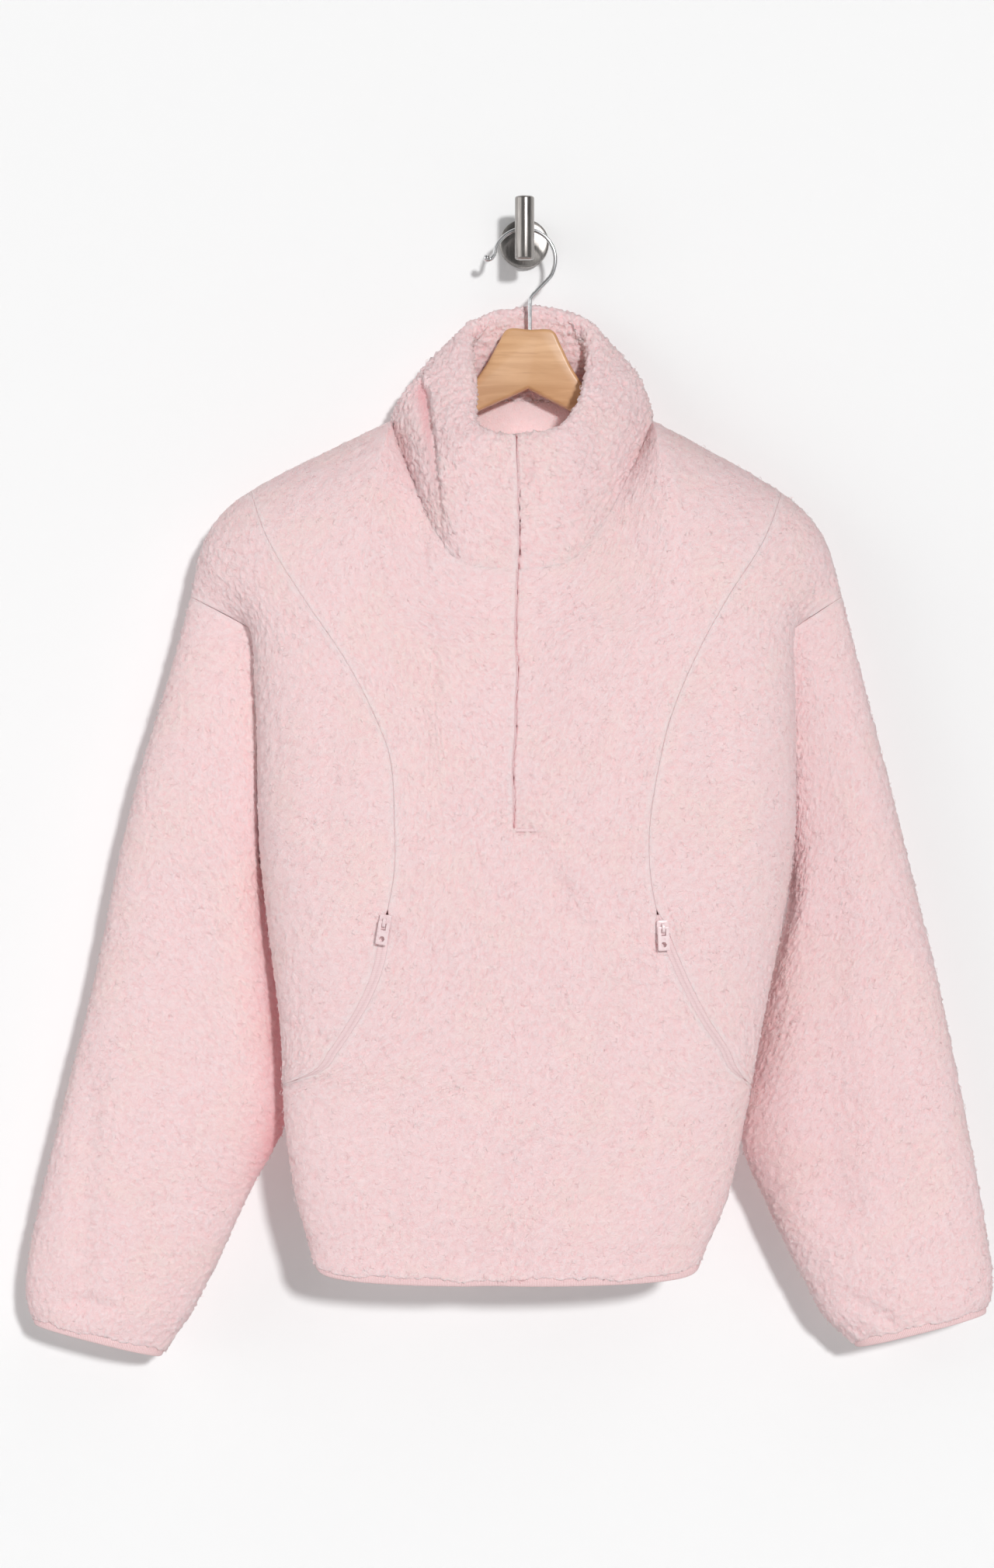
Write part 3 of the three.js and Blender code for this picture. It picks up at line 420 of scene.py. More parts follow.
    def point(self, face: Face, share: Array, height: Array) -> Array:
        """Points of the cloth's outer face.

        Args:
            face: Front or back.
            share: Signed share across.
            height: Height, from 0 to 2.

        Returns:
            The points, with the creases of the front pressed in.
        """
        share, height = np.broadcast_arrays(np.asarray(share, float), np.asarray(height, float))
        low = self.section(face, share, self.level(height))
        high = self.yoke(face, share, np.clip(height - 1, 0, 1))
        points = np.where((height > 1)[..., None], high, low)
        lift = self.hem_rise * share**2 + self.hem_corner * share**8 - self.hem_sag
        points[..., 2] += lift * np.clip(1 - height / self.hem_fade, 0, 1) ** 2
        if face is Face.FRONT:
            facing = np.cos(np.abs(share) * np.pi / 2) * np.clip(2 - height, 0, 1)
            points[..., 1] += pressed(FRONT_CREASES, points) * facing
        return points

    def solve(self, height: Array, low: float, high: float, beyond: Callable) -> Array:
        """Share at which a rising function of the front's points passes zero, by halving.

        Args:
            height: Heights to solve at.
            low: Lowest share.
            high: Highest share.
            beyond: Function of the points and heights.

        Returns:
            One share for each height.
        """
        near, far = np.full_like(height, low), np.full_like(height, high)
        for _ in range(self.halvings):
            middle = (near + far) / 2
            past = beyond(self.point(Face.FRONT, middle, height)) > 0
            far = np.where(past, middle, far)
            near = np.where(past, near, middle)
        return near

    def seam(self, side: Side, height: Array) -> Array:
        """Signed share of the curved front seam at each height; the side seam below the pocket.

        Args:
            side: Which seam.
            height: Heights.

        Returns:
            One share for each height.
        """
        sign = side.value

        def beyond(points: Array) -> Array:
            """How far points lie past the seam."""
            return points[..., 0] - self.front_seam.read(side.word, points[..., 2])

        low, high = (self.seam_inner, 1.0) if sign > 0 else (-1.0, -self.seam_inner)
        share = self.solve(height, low, high, beyond)
        share = np.where(height > 2 - NIL, sign * self.seam_top, share)
        return np.where(self.level(height) < self.pocket_end + self.pinch / 2, sign * 1.0, share)

    def pocket_edge(self, side: Side, height: Array, offset: float) -> Array:
        """Signed share of the seam, moved sideways by a part of the pocket's slit.

        Args:
            side: Which pocket.
            height: Heights.
            offset: -1 for the slit's inner edge, 1 for its outer edge.

        Returns:
            One share for each height.
        """
        share = self.seam(side, height)
        step = self.pocket_step * side.value
        back = np.where(np.abs(share + step) > 1, share - step, share)
        stretch = np.linalg.norm(
            self.point(Face.FRONT, back + step, height) - self.point(Face.FRONT, back, height), axis=-1
        )
        z = self.level(height)
        slit = self.pocket_slit * ease((self.pocket_top - z) / self.pocket_taper)
        slit = slit * ease((z - self.pocket_end) / self.pocket_taper) * (height <= 1)
        moved = share + offset * slit * step / np.maximum(stretch, TINY)
        return np.where(np.abs(share) > 1 - NIL, share, np.clip(moved, -1, 1))

    def zip_edge(self, height: Array, offset: Array) -> Array:
        """Signed share that lies a length off the front's centre line.

        Args:
            height: Heights.
            offset: Length off the centre line, in millimetres.

        Returns:
            One share for each height.
        """
        centre = self.point(Face.FRONT, np.zeros_like(height), height)[..., 0]
        reach = self.zip_reach
        return self.solve(height, -reach, reach, lambda points: points[..., 0] - centre - offset)

    def neck_outward(self, sign: Array, turn: Array) -> Array:
        """Direction that leaves the cloth at the neck seam.

        Args:
            sign: -1 on the left and 1 on the right.
            turn: From 0 at the front to 2 at the back.

        Returns:
            The directions.
        """
        points = self.ring(self.neck, sign, turn)
        hub = xyz(self.neck.read("centre", turn), self.neck_hub, points[..., 2])
        outward = unit(points - hub)
        outward[..., 2] += self.neck.read("lift", turn)
        return unit(outward)

    def edge_outward(self, face: Face, side: Side, height: Array) -> Array:
        """Direction of the cut edge at the side seam and armhole, shared by the pieces that meet there.

        Args:
            face: Front or back.
            side: Which edge.
            height: Heights.

        Returns:
            The directions.
        """
        sign = side.value
        turned = -1 if face is Face.FRONT else 1
        across = np.array([sign, 0.0, 0.0])
        valley = np.array([self.valley_lean[0] * sign, self.valley_lean[1] * turned, 0.0])
        ridge = np.array([self.ridge_lean[0] * sign, 0.0, self.ridge_lean[1]])
        open_share = ease(self.reach(self.level(height)) * self.armhole_turn)[..., None]
        low = mix(across, valley, open_share)
        high = mix(valley, ridge, np.clip(height - 1, 0, 1)[..., None])
        return unit(np.where((height > 1)[..., None], high, low))

    def top_outward(self, face: Face, share: Array) -> Array:
        """Direction of the cut edge along the neck and shoulder line.

        Args:
            face: Front or back.
            share: Signed share across.

        Returns:
            The directions.
        """
        off, sign = np.abs(share), np.where(share < 0, -1, 1)
        turn = np.minimum(off / self.neck_share, 1)
        neck = self.neck_outward(sign, turn if face is Face.FRONT else 2 - turn)
        along = np.clip((off - self.neck_share) / (1 - self.neck_share), 0, 1)[..., None]
        upright = np.array([0.0, 0.0, 1.0])
        start = mix(neck, upright, ease(along / self.neck_turn))
        two = np.full(share.shape, 2.0)
        left = self.edge_outward(face, Side.LEFT, two)
        right = self.edge_outward(face, Side.RIGHT, two)
        end = np.where((share < 0)[..., None], left, right)
        return unit(mix(start, end, ease((along - self.sleeve_turn) / (1 - self.sleeve_turn))))


@dataclass(frozen=True)
class SleeveForm:
    """One hanging sleeve, from the armhole (0) to the cuff (1), with a share round it.

    The share is 0 at the outer edge, 1 at the inner edge after the front, and 2 at the outer edge again.
    """

    side: Side
    body: BodyForm
    rings: Table
    fade_length: float = 0.35
    roundness: float = 0.9
    armhole_steps: int = 240

    def ring(self, t: Array, share: Array) -> Array:
        """Points of a plain oval ring.

        Args:
            t: From 0 at the armhole to 1 at the cuff.
            share: Share round the sleeve.

        Returns:
            The points.
        """
        across = (1 - np.cos(np.pi * share)) / 2
        depth = np.where(share <= 1, -self.rings.read("front", t), self.rings.read("back", t))
        middle = mix(self.rings.read("out_y", t), self.rings.read("in_y", t), across)
        y = middle + depth * np.abs(np.sin(np.pi * share)) ** self.roundness
        x = mix(self.rings.read("out_x", t), self.rings.read("in_x", t), across)
        return xyz(x, y, mix(self.rings.read("out_z", t), self.rings.read("in_z", t), across))

    def armhole(self, share: Array) -> tuple[Array, Array]:
        """The armhole's points and cut-edge directions at shares round it.

        Args:
            share: Shares from 0 to 2.

        Returns:
            The points and the directions.
        """
        low = self.body.height(self.body.underarm)
        heights = np.linspace(2, low, self.armhole_steps)
        places, points, outward = [], [], []
        for face, order, start in ((Face.FRONT, heights, 0), (Face.BACK, heights[::-1], 1)):
            edge = np.full_like(order, self.side.value)
            line = self.body.point(face, edge, order)
            length = running(line, 0)
            places.append(start + length / length[-1])
            points.append(line)
            outward.append(self.body.edge_outward(face, self.side, order))
        at = np.concatenate(places)
        return self.lookup(share, at, points), unit(self.lookup(share, at, outward))

    @staticmethod
    def lookup(share: Array, at: Array, rows: list[Array]) -> Array:
        """Rows of three numbers read by a share along them."""
        joined = np.concatenate(rows)
        return xyz(*(np.interp(share, at, joined[:, axis]) for axis in range(3)))

    def point(self, t: Array, share: Array) -> Array:
        """Points of the sleeve's outer face, with its creases.

        Args:
            t: From 0 at the armhole to 1 at the cuff.
            share: Share round the sleeve.

        Returns:
            The points.
        """
        t, share = np.broadcast_arrays(np.asarray(t, float), np.asarray(share, float))
        points = self.ring(t, share)
        fade = np.clip(1 - t / self.fade_length, 0, 1) ** 2
        pull = self.armhole(share)[0] - self.ring(np.zeros_like(t), share)
        points = points + pull * fade[..., None]
        facing = np.maximum(0, np.sin(np.pi * share)) * (1 - fade)
        points[..., 1] += pressed(SLEEVE_CREASES, points) * facing
        return points


RING_NAMES = ("t", "out_x", "out_z", "in_x", "in_z", "out_y", "in_y", "front", "back")
SLEEVE_RINGS = {
    Side.LEFT: Table(
        RING_NAMES,
        (
            (0, -242, -261, -190, -450, -44, -59, 24, 22),
            (0.15, -258, -320, -187, -500, -42, -42, 34, 29),
            (0.3, -277, -382, -179, -545, -42, -40, 36, 31),
            (0.45, -294, -450, -174, -592, -42, -40, 36, 32),
            (0.6, -311, -535, -173, -640, -42, -42, 36, 32),
            (0.75, -334, -628, -200, -694, -42, -42, 35, 31),
            (0.9, -358, -732, -231, -760, -42, -42, 31, 28),
            (0.97, -361, -768, -248, -790, -42, -42, 27, 24),
            (1, -356, -780, -260, -804, -42, -42, 23, 21),
        ),
    ),
    Side.RIGHT: Table(
        RING_NAMES,
        (
            (0, 230, -261, 193, -450, -44, -59, 24, 22),
            (0.15, 245, -320, 190, -497, -42, -42, 34, 29),
            (0.3, 262, -386, 176, -545, -42, -40, 36, 31),
            (0.45, 279, -455, 167, -592, -42, -40, 36, 32),
            (0.6, 299, -537, 157, -652, -42, -42, 36, 32),
            (0.75, 317, -624, 175, -700, -42, -42, 35, 31),
            (0.9, 335, -724, 203, -757, -42, -42, 31, 28),
            (0.97, 339, -762, 221, -787, -42, -42, 27, 24),
            (1, 334, -772, 236, -798, -42, -42, 23, 21),
        ),
    ),
}


@dataclass(frozen=True)
class CollarForm:
    """The rolled stand-up collar, leaning from the neck seam to its folded top edge."""

    body: BodyForm
    cloth: float = 6
    thickness: float = 13
    swell: float = 0.5
    rounding: float = 0.12
    tucked: float = 0.07
    tuck_depth: float = 0.2
    plump: tuple[float, float] = (1.5, 3.5)
    plump_from: float = 0.8
    plump_until: float = 1.5
    dent_until: float = 1.3
    top: Table = Table(
        ("turn", "centre", "out", "y", "z"),
        (
            (0, -8, 0, -103, -146),
            (0.5, -3, 31, -93, -136),
            (1, 4, 41, -64, -103),
            (1.5, 4, 45, -25, -59),
            (1.75, 5, 32, -13, -50),
            (2, 5, 0, -8, -46),
        ),
    )
    bulge: Table = Table(
        ("turn", "left", "right"),
        ((0, 3, 3), (0.5, 13, 8), (1, 14, 15), (1.5, 11, 11), (2, 0, 0)),
    )

    def spine(self, sign: Array, turn: Array, rise: Array) -> Array:
        """Points of the outer face before its top is rounded.

        Args:
            sign: -1 on the left and 1 on the right.
            turn: From 0 at the front to 2 at the back.
            rise: From 0 at the neck seam to 1 at the fold.

        Returns:
            The points.
        """
        base = self.body.ring(self.body.neck, sign, turn)
        top = self.body.ring(self.top, sign, turn)
        out = np.where(sign < 0, self.bulge.read("left", turn), self.bulge.read("right", turn))
        out = out * np.sin(np.pi * rise)
        return mix(base, top, rise[..., None]) + self.body.neck_outward(sign, turn) * out[..., None]

    def outward(self, sign: Array, turn: Array, rise: Array) -> Array:
        """Direction that leaves the outer face.

        Args:
            sign: -1 on the left and 1 on the right.
            turn: From 0 at the front to 2 at the back.
            rise: From 0 at the neck seam to 1 at the fold.

        Returns:
            The directions.
        """
        step = 0.01
        after = self.spine(sign, np.minimum(2, turn + step), rise)
        before = self.spine(sign, np.maximum(0, turn - step), rise)
        over = self.spine(sign, turn, np.minimum(1, rise + step))
        under = self.spine(sign, turn, np.maximum(0, rise - step))
        normal = unit(np.cross(after - before, over - under) * sign[..., None])
        return np.where((rise < TINY)[..., None], self.body.neck_outward(sign, turn), normal)

    def point(self, place: Array, path: Array) -> Array:
        """Points round the collar's closed section.

        Args:
            place: -2 to 2 from the left front edge round the back to the right front edge.
            path: 0 to 1 from the neck seam up the outer face, over the fold and down the inner face.

        Returns:
            The points.
        """
        place, path = np.broadcast_arrays(np.asarray(place, float), np.asarray(path, float))
        past = np.abs(place) > 2
        sign, turn = np.where((place < 0) != past, -1.0, 1.0), np.abs(2 - np.abs(place))
        rise = 1 - np.abs(1 - 2 * path) ** 2
        late = ease((turn - self.plump_until) / (2 - self.plump_until))
        plump = np.where(sign < 0, *self.plump) * ease(turn / self.plump_from) * (1 - late)
        full = mix(self.cloth, self.thickness + plump, ease(rise / self.swell))
        fold = np.clip((rise - 1 + self.rounding) / self.rounding, 0, 1)
        sunk = full / 2 * (1 - np.sqrt(1 - fold**2))
        spine = self.spine(sign, turn, rise)
        tuck = 1 - ease(rise / self.tucked)
        spine[..., 2] -= tuck
        sunk = sunk + self.tuck_depth * tuck * np.where(path <= 0.5, 1, -1)
        dent = pressed(COLLAR_CREASES, spine) * (turn < self.dent_until)
        sunk = np.where(path <= 0.5, sunk + dent, full - sunk)
        return spine - self.outward(sign, turn, rise) * sunk[..., None]

    def front_edge(self, side: Side, length: Array) -> Array:
        """Place at which the collar ends beside the zip.

        Args:
            side: Which front edge.
            length: Length off the centre line, in millimetres.

        Returns:
            The places.
        """
        step = 0.02
        sign = np.array(float(side.value))
        rise = np.array(0.3)
        near = self.spine(sign, np.array(0.0), rise)
        far = self.spine(sign, np.array(step), rise)
        return side.value * (2 - length * step / np.linalg.norm(far - near))


@dataclass
class ClothGrid:
    """A fine grid of points over one face of a cloth piece, with what its surface needs."""

    points: Array
    normals: Array
    border: Array
    seam: Array
    rim: Array
    deep: Array
    join: Array
    shade: Array
    wrap: bool = False
    keep: Array | None = None

    @classmethod
    def over(
        cls, points: Array, towards: Array, wrap: bool = False, bound: int = 0, plain: Array | None = None
    ) -> "ClothGrid":
        """Works out the normals and the distance to the open edges of a grid.

        Args:
            points: Rows and columns of points, in millimetres.
            towards: Rough direction that leaves the cloth, for each point or for all.
            wrap: Whether the columns close into a ring.
            bound: The row that hangs over a binding, 0 or -1; the pile stays full there.
            plain: Columns in which the cloth runs on smoothly past the last row.

        Returns:
            The grid.
        """
        upward = np.gradient(points, axis=0)
        if wrap:
            across = np.roll(points, -1, axis=1) - np.roll(points, 1, axis=1)
        else:
            across = np.gradient(points, axis=1)
        normals = unit(np.cross(across, upward))
        if np.sum(normals * towards) < 0:
            normals = -normals
        up = running(points, 0)
        ends = [up, up[-1] - up]
        join = np.full_like(up, FAR)
        if plain is not None:
            join = np.where(plain, ends[-1], join)
            ends[-1] = ends[-1] + FAR * plain
        sides = np.full_like(up, FAR)
        if not wrap:
            along = running(points, 1)
            sides = np.minimum(along, along[:, -1:] - along)
        border = np.minimum(np.minimum(*ends), sides)
        seam = np.minimum(ends[-1 - bound], sides)
        none = np.zeros_like(up)
        return cls(points, normals, border, seam, normals.copy(), none, join, none.copy(), wrap)


@dataclass(frozen=True)
class FleeceCut:
    """How the cut edges of the fleece are turned in at a seam and at the zip, in millimetres."""

    thickness: float = 6
    roll: float = 0.5
    zip_roll: float = 2.2
    flat_pile: float = 2.6
    # width of the bank beside a seam that gets the pale painted highlight
    bank: float = 2.4
    seam_shade: float = 0.0
    # painted light laid over the inner faces, which lie in shade inside the garment
    lining: float = 1.0
    join_pile: float = 1.3
    zip_shade: float = 0.6

    def turned_in(self, border: Array, deep: Array) -> Array:
        """How far the cloth turns in beside its edge.

        Args:
            border: Distance from the edge, in millimetres.
            deep: 0 at a seam and 1 at the zip.

        Returns:
            The depth, in millimetres.
        """
        roll = mix(self.roll, self.zip_roll, deep)
        near = np.clip(roll - border, 0, roll)
        return roll - np.sqrt(np.maximum(roll**2 - near**2, 0))

    def hollow(self, border: Array, deep: Array) -> Array:
        """How deep in shade the pile lies at a distance from its edge."""
        roll = mix(self.roll, self.zip_roll, deep)
        return mix(self.seam_shade, self.zip_shade, deep) * (1 - ease(border / roll))

    def lit(self, border: Array) -> Array:
        """How strongly the bank beside an edge is painted pale: a painted highlight along the seam."""
        return ease(1 - np.abs(border - self.bank) / self.bank)

    def mesh(self, name: str, grid: ClothGrid) -> Mesh:
        """Makes a closed shell: a fine outer face, a coarse inner face and a rim at every open edge.

        Args:
            name: Name of the mesh.
            grid: The outer face's grid; its cells come in blocks of FINE by FINE.

        Returns:
            The mesh, with the pile, the painted shade (hollow) and the painted highlight and light (bank)
            on its points.
        """
        sunk = self.turned_in(grid.border, grid.deep)
        outer = grid.points - grid.normals * sunk[..., None]
        block = (slice(None, None, FINE), slice(None, None, FINE))
        inner = grid.points[block] - grid.rim[block] * self.thickness
        rows, columns = (n - 1 for n in inner.shape[:2])
        if grid.wrap:
            columns += 1
        keep = np.ones((rows, columns), bool) if grid.keep is None else grid.keep
        faces = self.faces(outer.shape[1], inner.shape[1], outer.shape[0] * outer.shape[1], keep, grid.wrap)
        if self.turned(outer, grid.normals):
            faces = [face[::-1] for face in faces]
        points = np.concatenate([outer.reshape(-1, 3), inner.reshape(-1, 3)]) * MM
        mesh = bpy.data.meshes.new(name)
        mesh.from_pydata(points.tolist(), [], faces)
        lining = np.zeros(inner.shape[0] * inner.shape[1])
        pile = ease(np.minimum(grid.seam / self.flat_pile, grid.join / self.join_pile))
        # painted shade beside the turned-in edges and the zip slit, and wherever the grid carries shade
        hollow = np.maximum(self.hollow(grid.border, grid.deep), grid.shade)
        paint(mesh, "pile", np.concatenate([pile.ravel(), lining]))
        paint(mesh, "hollow", np.concatenate([hollow.ravel(), lining]))
        # painted highlight on the seam banks, and painted light over all the inner faces
        paint(mesh, "bank", np.concatenate([self.lit(grid.seam).ravel(), lining + self.lining]))
        trim_loose(mesh)
        return mesh

    @staticmethod
    def turned(points: Array, normals: Array) -> bool:
        """Whether faces that follow rows and columns would look inwards.

        Args:
            points: The outer face's points.
            normals: Directions that leave the cloth.

        Returns:
            True where the faces have to be turned round.
        """
        across = points[1:-1, 2:] - points[1:-1, :-2]
        upward = points[2:, 1:-1] - points[:-2, 1:-1]
        return float(np.sum(np.cross(across, upward) * normals[1:-1, 1:-1])) < 0

    @staticmethod
    def faces(wide: int, lining_wide: int, first: int, keep: Array, wrap: bool) -> list[list[int]]:
        """Faces of the shell.

        Args:
            wide: Columns of the outer grid.
            lining_wide: Columns of the inner grid.
            first: Index of the inner grid's first point.
            keep: Which coarse cells the cloth covers.
            wrap: Whether the columns close into a ring.

        Returns:
            Lists of point indices, one for each face.
        """
        rows, columns = keep.shape

        def skin(i: int, j: int) -> int:
            """Index of an outer point."""
            return i * wide + j % wide

        def lining(i: int, j: int) -> int:
            """Index of an inner point."""
            return first + i * lining_wide + j % lining_wide

        def kept(i: int, j: int) -> bool:
            """Whether a coarse cell is cloth.

            Args:
                i: The cell's row.
                j: The cell's column.

            Returns:
                False also outside the grid.
            """
            if not 0 <= i < rows or (not wrap and not 0 <= j < columns):
                return False
            return bool(keep[i, j % columns])

        faces = []
        for i in range(rows):
            for j in range(columns):
                if not keep[i, j]:
                    continue
                low, left = FINE * i, FINE * j
                for r in range(low, low + FINE):
                    for c in range(left, left + FINE):
                        faces.append([skin(r, c), skin(r, c + 1), skin(r + 1, c + 1), skin(r + 1, c)])
                corners = [lining(i, j), lining(i + 1, j), lining(i + 1, j + 1), lining(i, j + 1)]
                faces.append(corners)
                run = range(FINE + 1)
                back = range(FINE, -1, -1)
                if not kept(i - 1, j):
                    faces.append([skin(low, left + k) for k in back] + [corners[0], corners[3]])
                if not kept(i + 1, j):
                    faces.append([skin(low + FINE, left + k) for k in run] + [corners[2], corners[1]])
                if not kept(i, j - 1):
                    faces.append([skin(low + k, left) for k in run] + [corners[1], corners[0]])
                if not kept(i, j + 1):
                    faces.append([skin(low + k, left + FINE) for k in back] + [corners[3], corners[2]])
        return faces


def paint(mesh: Mesh, name: str, values: Array) -> None:
    """Writes one number for each point of a mesh."""
    layer = mesh.attributes.new(name, "FLOAT", "POINT")
    layer.data.foreach_set("value", np.asarray(values, np.float32))


def trim_loose(mesh: Mesh) -> None:
    """Removes the points that no face uses.

    Args:
        mesh: The mesh to trim.
    """
    form = bmesh.new()
    form.from_mesh(mesh)
    loose = [vertex for vertex in form.verts if not vertex.link_faces]
    bmesh.ops.delete(form, geom=loose, context="VERTS")
    form.to_mesh(mesh)
    form.free()


def spaced(total: float, cells: int) -> Array:
    """Places along a length, close together beside its ends and even between them.

    Args:
        total: The length, in millimetres.
        cells: How many cells to make.

    Returns:
        The places, one more than the cells.
    """
    shrink = min(1, total / LIP_LENGTH)
    lip = np.array(LIP) * shrink
    start = LIP_END * shrink
    even = np.linspace(start, total - start, cells - 2 * FINE + 1)
    return np.concatenate([lip, even, (total - lip)[::-1]])


def woven(
    form: BodyForm, face: Face, heights: Array, low: Array, high: Array, cells: tuple[int, int]
) -> Array:
    """Spreads a grid evenly over a stretch of the body.

    Args:
        form: The body.
        face: Front or back.
        heights: Close heights from the bottom to the top of the stretch.
        low: Signed share of the left edge at each height.
        high: Signed share of the right edge at each height.
        cells: Rows and columns of cells.

    Returns:
        Shares and heights of the grid's points, stacked last.
    """
    rows, columns = cells
    close = mix(low[:, None], high[:, None], np.linspace(0, 1, CLOSE_STEPS)[None, :])
    length = running(form.point(face, close, heights[:, None]), 1)
    shares = np.stack(
        [np.interp(spaced(row[-1], columns), row, line) for row, line in zip(length, close)]
    )
    length = running(form.point(face, shares, heights[:, None]), 0)
    grid = np.zeros((rows + 1, columns + 1, 2))
    for j in range(columns + 1):
        places = spaced(length[-1, j], rows)
        grid[:, j, 0] = np.interp(places, length[:, j], shares[:, j])
        grid[:, j, 1] = np.interp(places, length[:, j], heights)
    return grid


def eased(points: Array, passes: int = 40, reach: float = 14, pull: float = 0.5) -> Array:
    """Takes the sharp bends out of a grid's rows, away from its edges.

    Args:
        points: Rows and columns of points, in millimetres.
        passes: How often each point is drawn towards its neighbours above and below.
        reach: How far from an edge the easing is full, in millimetres.
        pull: Share of the way that a point is drawn each time.

    Returns:
        The eased points.
    """
    along, up = running(points, 1), running(points, 0)
    edge = np.minimum(np.minimum(along, along[:, -1:] - along), np.minimum(up, up[-1] - up))
    weight = pull * ease(edge / reach)[1:-1, :, None]
    smooth = points.copy()
    for _ in range(passes):
        middle = (smooth[2:] + smooth[:-2]) / 2
        smooth[1:-1] += weight * (middle - smooth[1:-1])
    return smooth


def close_heights(start: float, end: float, low_steps: int = 320, high_steps: int = 200) -> Array:
    """Close heights on the body, closer above the corner row where the yoke turns quickly.

    Args:
        start: The lowest height.
        end: The highest height.
        low_steps: Heights up to the corner row.
        high_steps: Heights from the corner row up.

    Returns:
        The heights.
    """
    none = np.array([])
    low = np.linspace(start, min(1, end), low_steps) if start < 1 else none
    root = np.linspace(0, math.sqrt(max(0, end - 1)), high_steps)[1:]
    return np.concatenate([low, 1 + root**2 if end > 1 else none])


def rippled(places: Array, waves: tuple[Triple, ...], start: float = 0) -> Array:
    """Sum of several waves along a line.

    Args:
        places: Places along the line, in millimetres.
        waves: Size, length and start of each wave.
        start: What the waves are added to.

    Returns:
        The sum at each place.
    """
    return sum((size * np.sin(places / length + turn) for size, length, turn in waves), start)


class Nodes:
    """A short way to add and join the nodes of one tree."""

    def __init__(self, tree: bpy.types.NodeTree) -> None:
        """Keeps the tree."""
        self.tree = tree

    def add(self, kind: str, inputs: dict | None = None, **settings) -> bpy.types.Node:
        """Adds a node.

        Args:
            kind: The node's type.
            inputs: Input names or numbers to values or to the sockets that feed them.
            settings: The node's own properties.

        Returns:
            The node.
        """
        node = self.tree.nodes.new(kind)
        for key, value in settings.items():
            setattr(node, key, value)
        for key, value in (inputs or {}).items():
            if isinstance(value, Socket):
                self.tree.links.new(value, node.inputs[key])
            else:
                node.inputs[key].default_value = value
        return node

    def math(self, operation: str, *values) -> Socket:
        """Adds a sum of numbers and sockets and returns its result."""
        node = self.add("ShaderNodeMath", dict(enumerate(values)), operation=operation)
        return node.outputs[0]

    def noise(self, at: Socket, size: float, detail: float, swirl: float = 0) -> Socket:
        """Adds a noise of a size in metres and returns its height, from 0 to 1."""
        inputs = {"Vector": at, "Scale": 1 / size, "Detail": detail, "Distortion": swirl}
        return self.add("ShaderNodeTexNoise", inputs).outputs["Fac"]

    def blend(self, share: Socket | float, first: Socket | Colour, second: Socket | Colour) -> Socket:
        """Adds a mix of two colours.

        Args:
            share: How much of the second colour shows.
            first: The first colour.
            second: The second colour.

        Returns:
            The mixed colour.
        """
        node = self.add("ShaderNodeMix", data_type="RGBA")
        for socket, value in ((node.inputs[0], share), (node.inputs[6], first), (node.inputs[7], second)):
            if isinstance(value, Socket):
                self.tree.links.new(value, socket)
            else:
                socket.default_value = (*value, 1) if isinstance(value, tuple) else value
        return node.outputs[2]

    def between(self, value: Socket, low: float, high: float) -> Socket:
        """Adds a smooth step of a value between two limits, from 0 to 1."""
        node = self.add("ShaderNodeMapRange", {0: value, 1: low, 2: high}, interpolation_type="SMOOTHSTEP")
        return node.outputs[0]

    def bump(self, height: Socket, depth: float, strength: float) -> Socket:
        """Adds a bump of a depth in metres and returns its normal."""
        inputs = {"Height": height, "Distance": depth, "Strength": strength}
        return self.add("ShaderNodeBump", inputs).outputs[0]


class Shade:
    """A material with one principled shader, and the nodes that feed it."""

    def __init__(self, name: str, **constants) -> None:
        """Makes the material.

        Args:
            name: The finish.
            constants: Shader inputs that are the same all over, with spaces as underscores.
        """
        self.material = bpy.data.materials.new(name)
        self.material.use_nodes = True
        self.nodes = Nodes(self.material.node_tree)
        self.shader = self.material.node_tree.nodes["Principled BSDF"]
        for key, value in constants.items():
            self.shader.inputs[key.replace("_", " ")].default_value = value
        coordinates = self.nodes.add("ShaderNodeTexCoord")
        self.place = coordinates.outputs["Object"]
        self.strip = coordinates.outputs["UV"]

    def feed(self, **sockets: Socket) -> Finish:
        """Joins sockets to the shader's inputs.

        Args:
            sockets: Sockets by the inputs' names, with spaces as underscores.

        Returns:
            The material.
        """
        for key, socket in sockets.items():
            self.nodes.tree.links.new(socket, self.shader.inputs[key.replace("_", " ")])
        return self.material

    def stretched(self, scale: Triple, source: Socket) -> Socket:
        """Coordinates scaled along each axis."""
        return self.nodes.add("ShaderNodeMapping", {"Vector": source, "Scale": scale}).outputs[0]

    def painted(self, name: str) -> Socket:
        """A number painted on the mesh."""
        return self.nodes.add("ShaderNodeAttribute", attribute_name=name).outputs["Fac"]


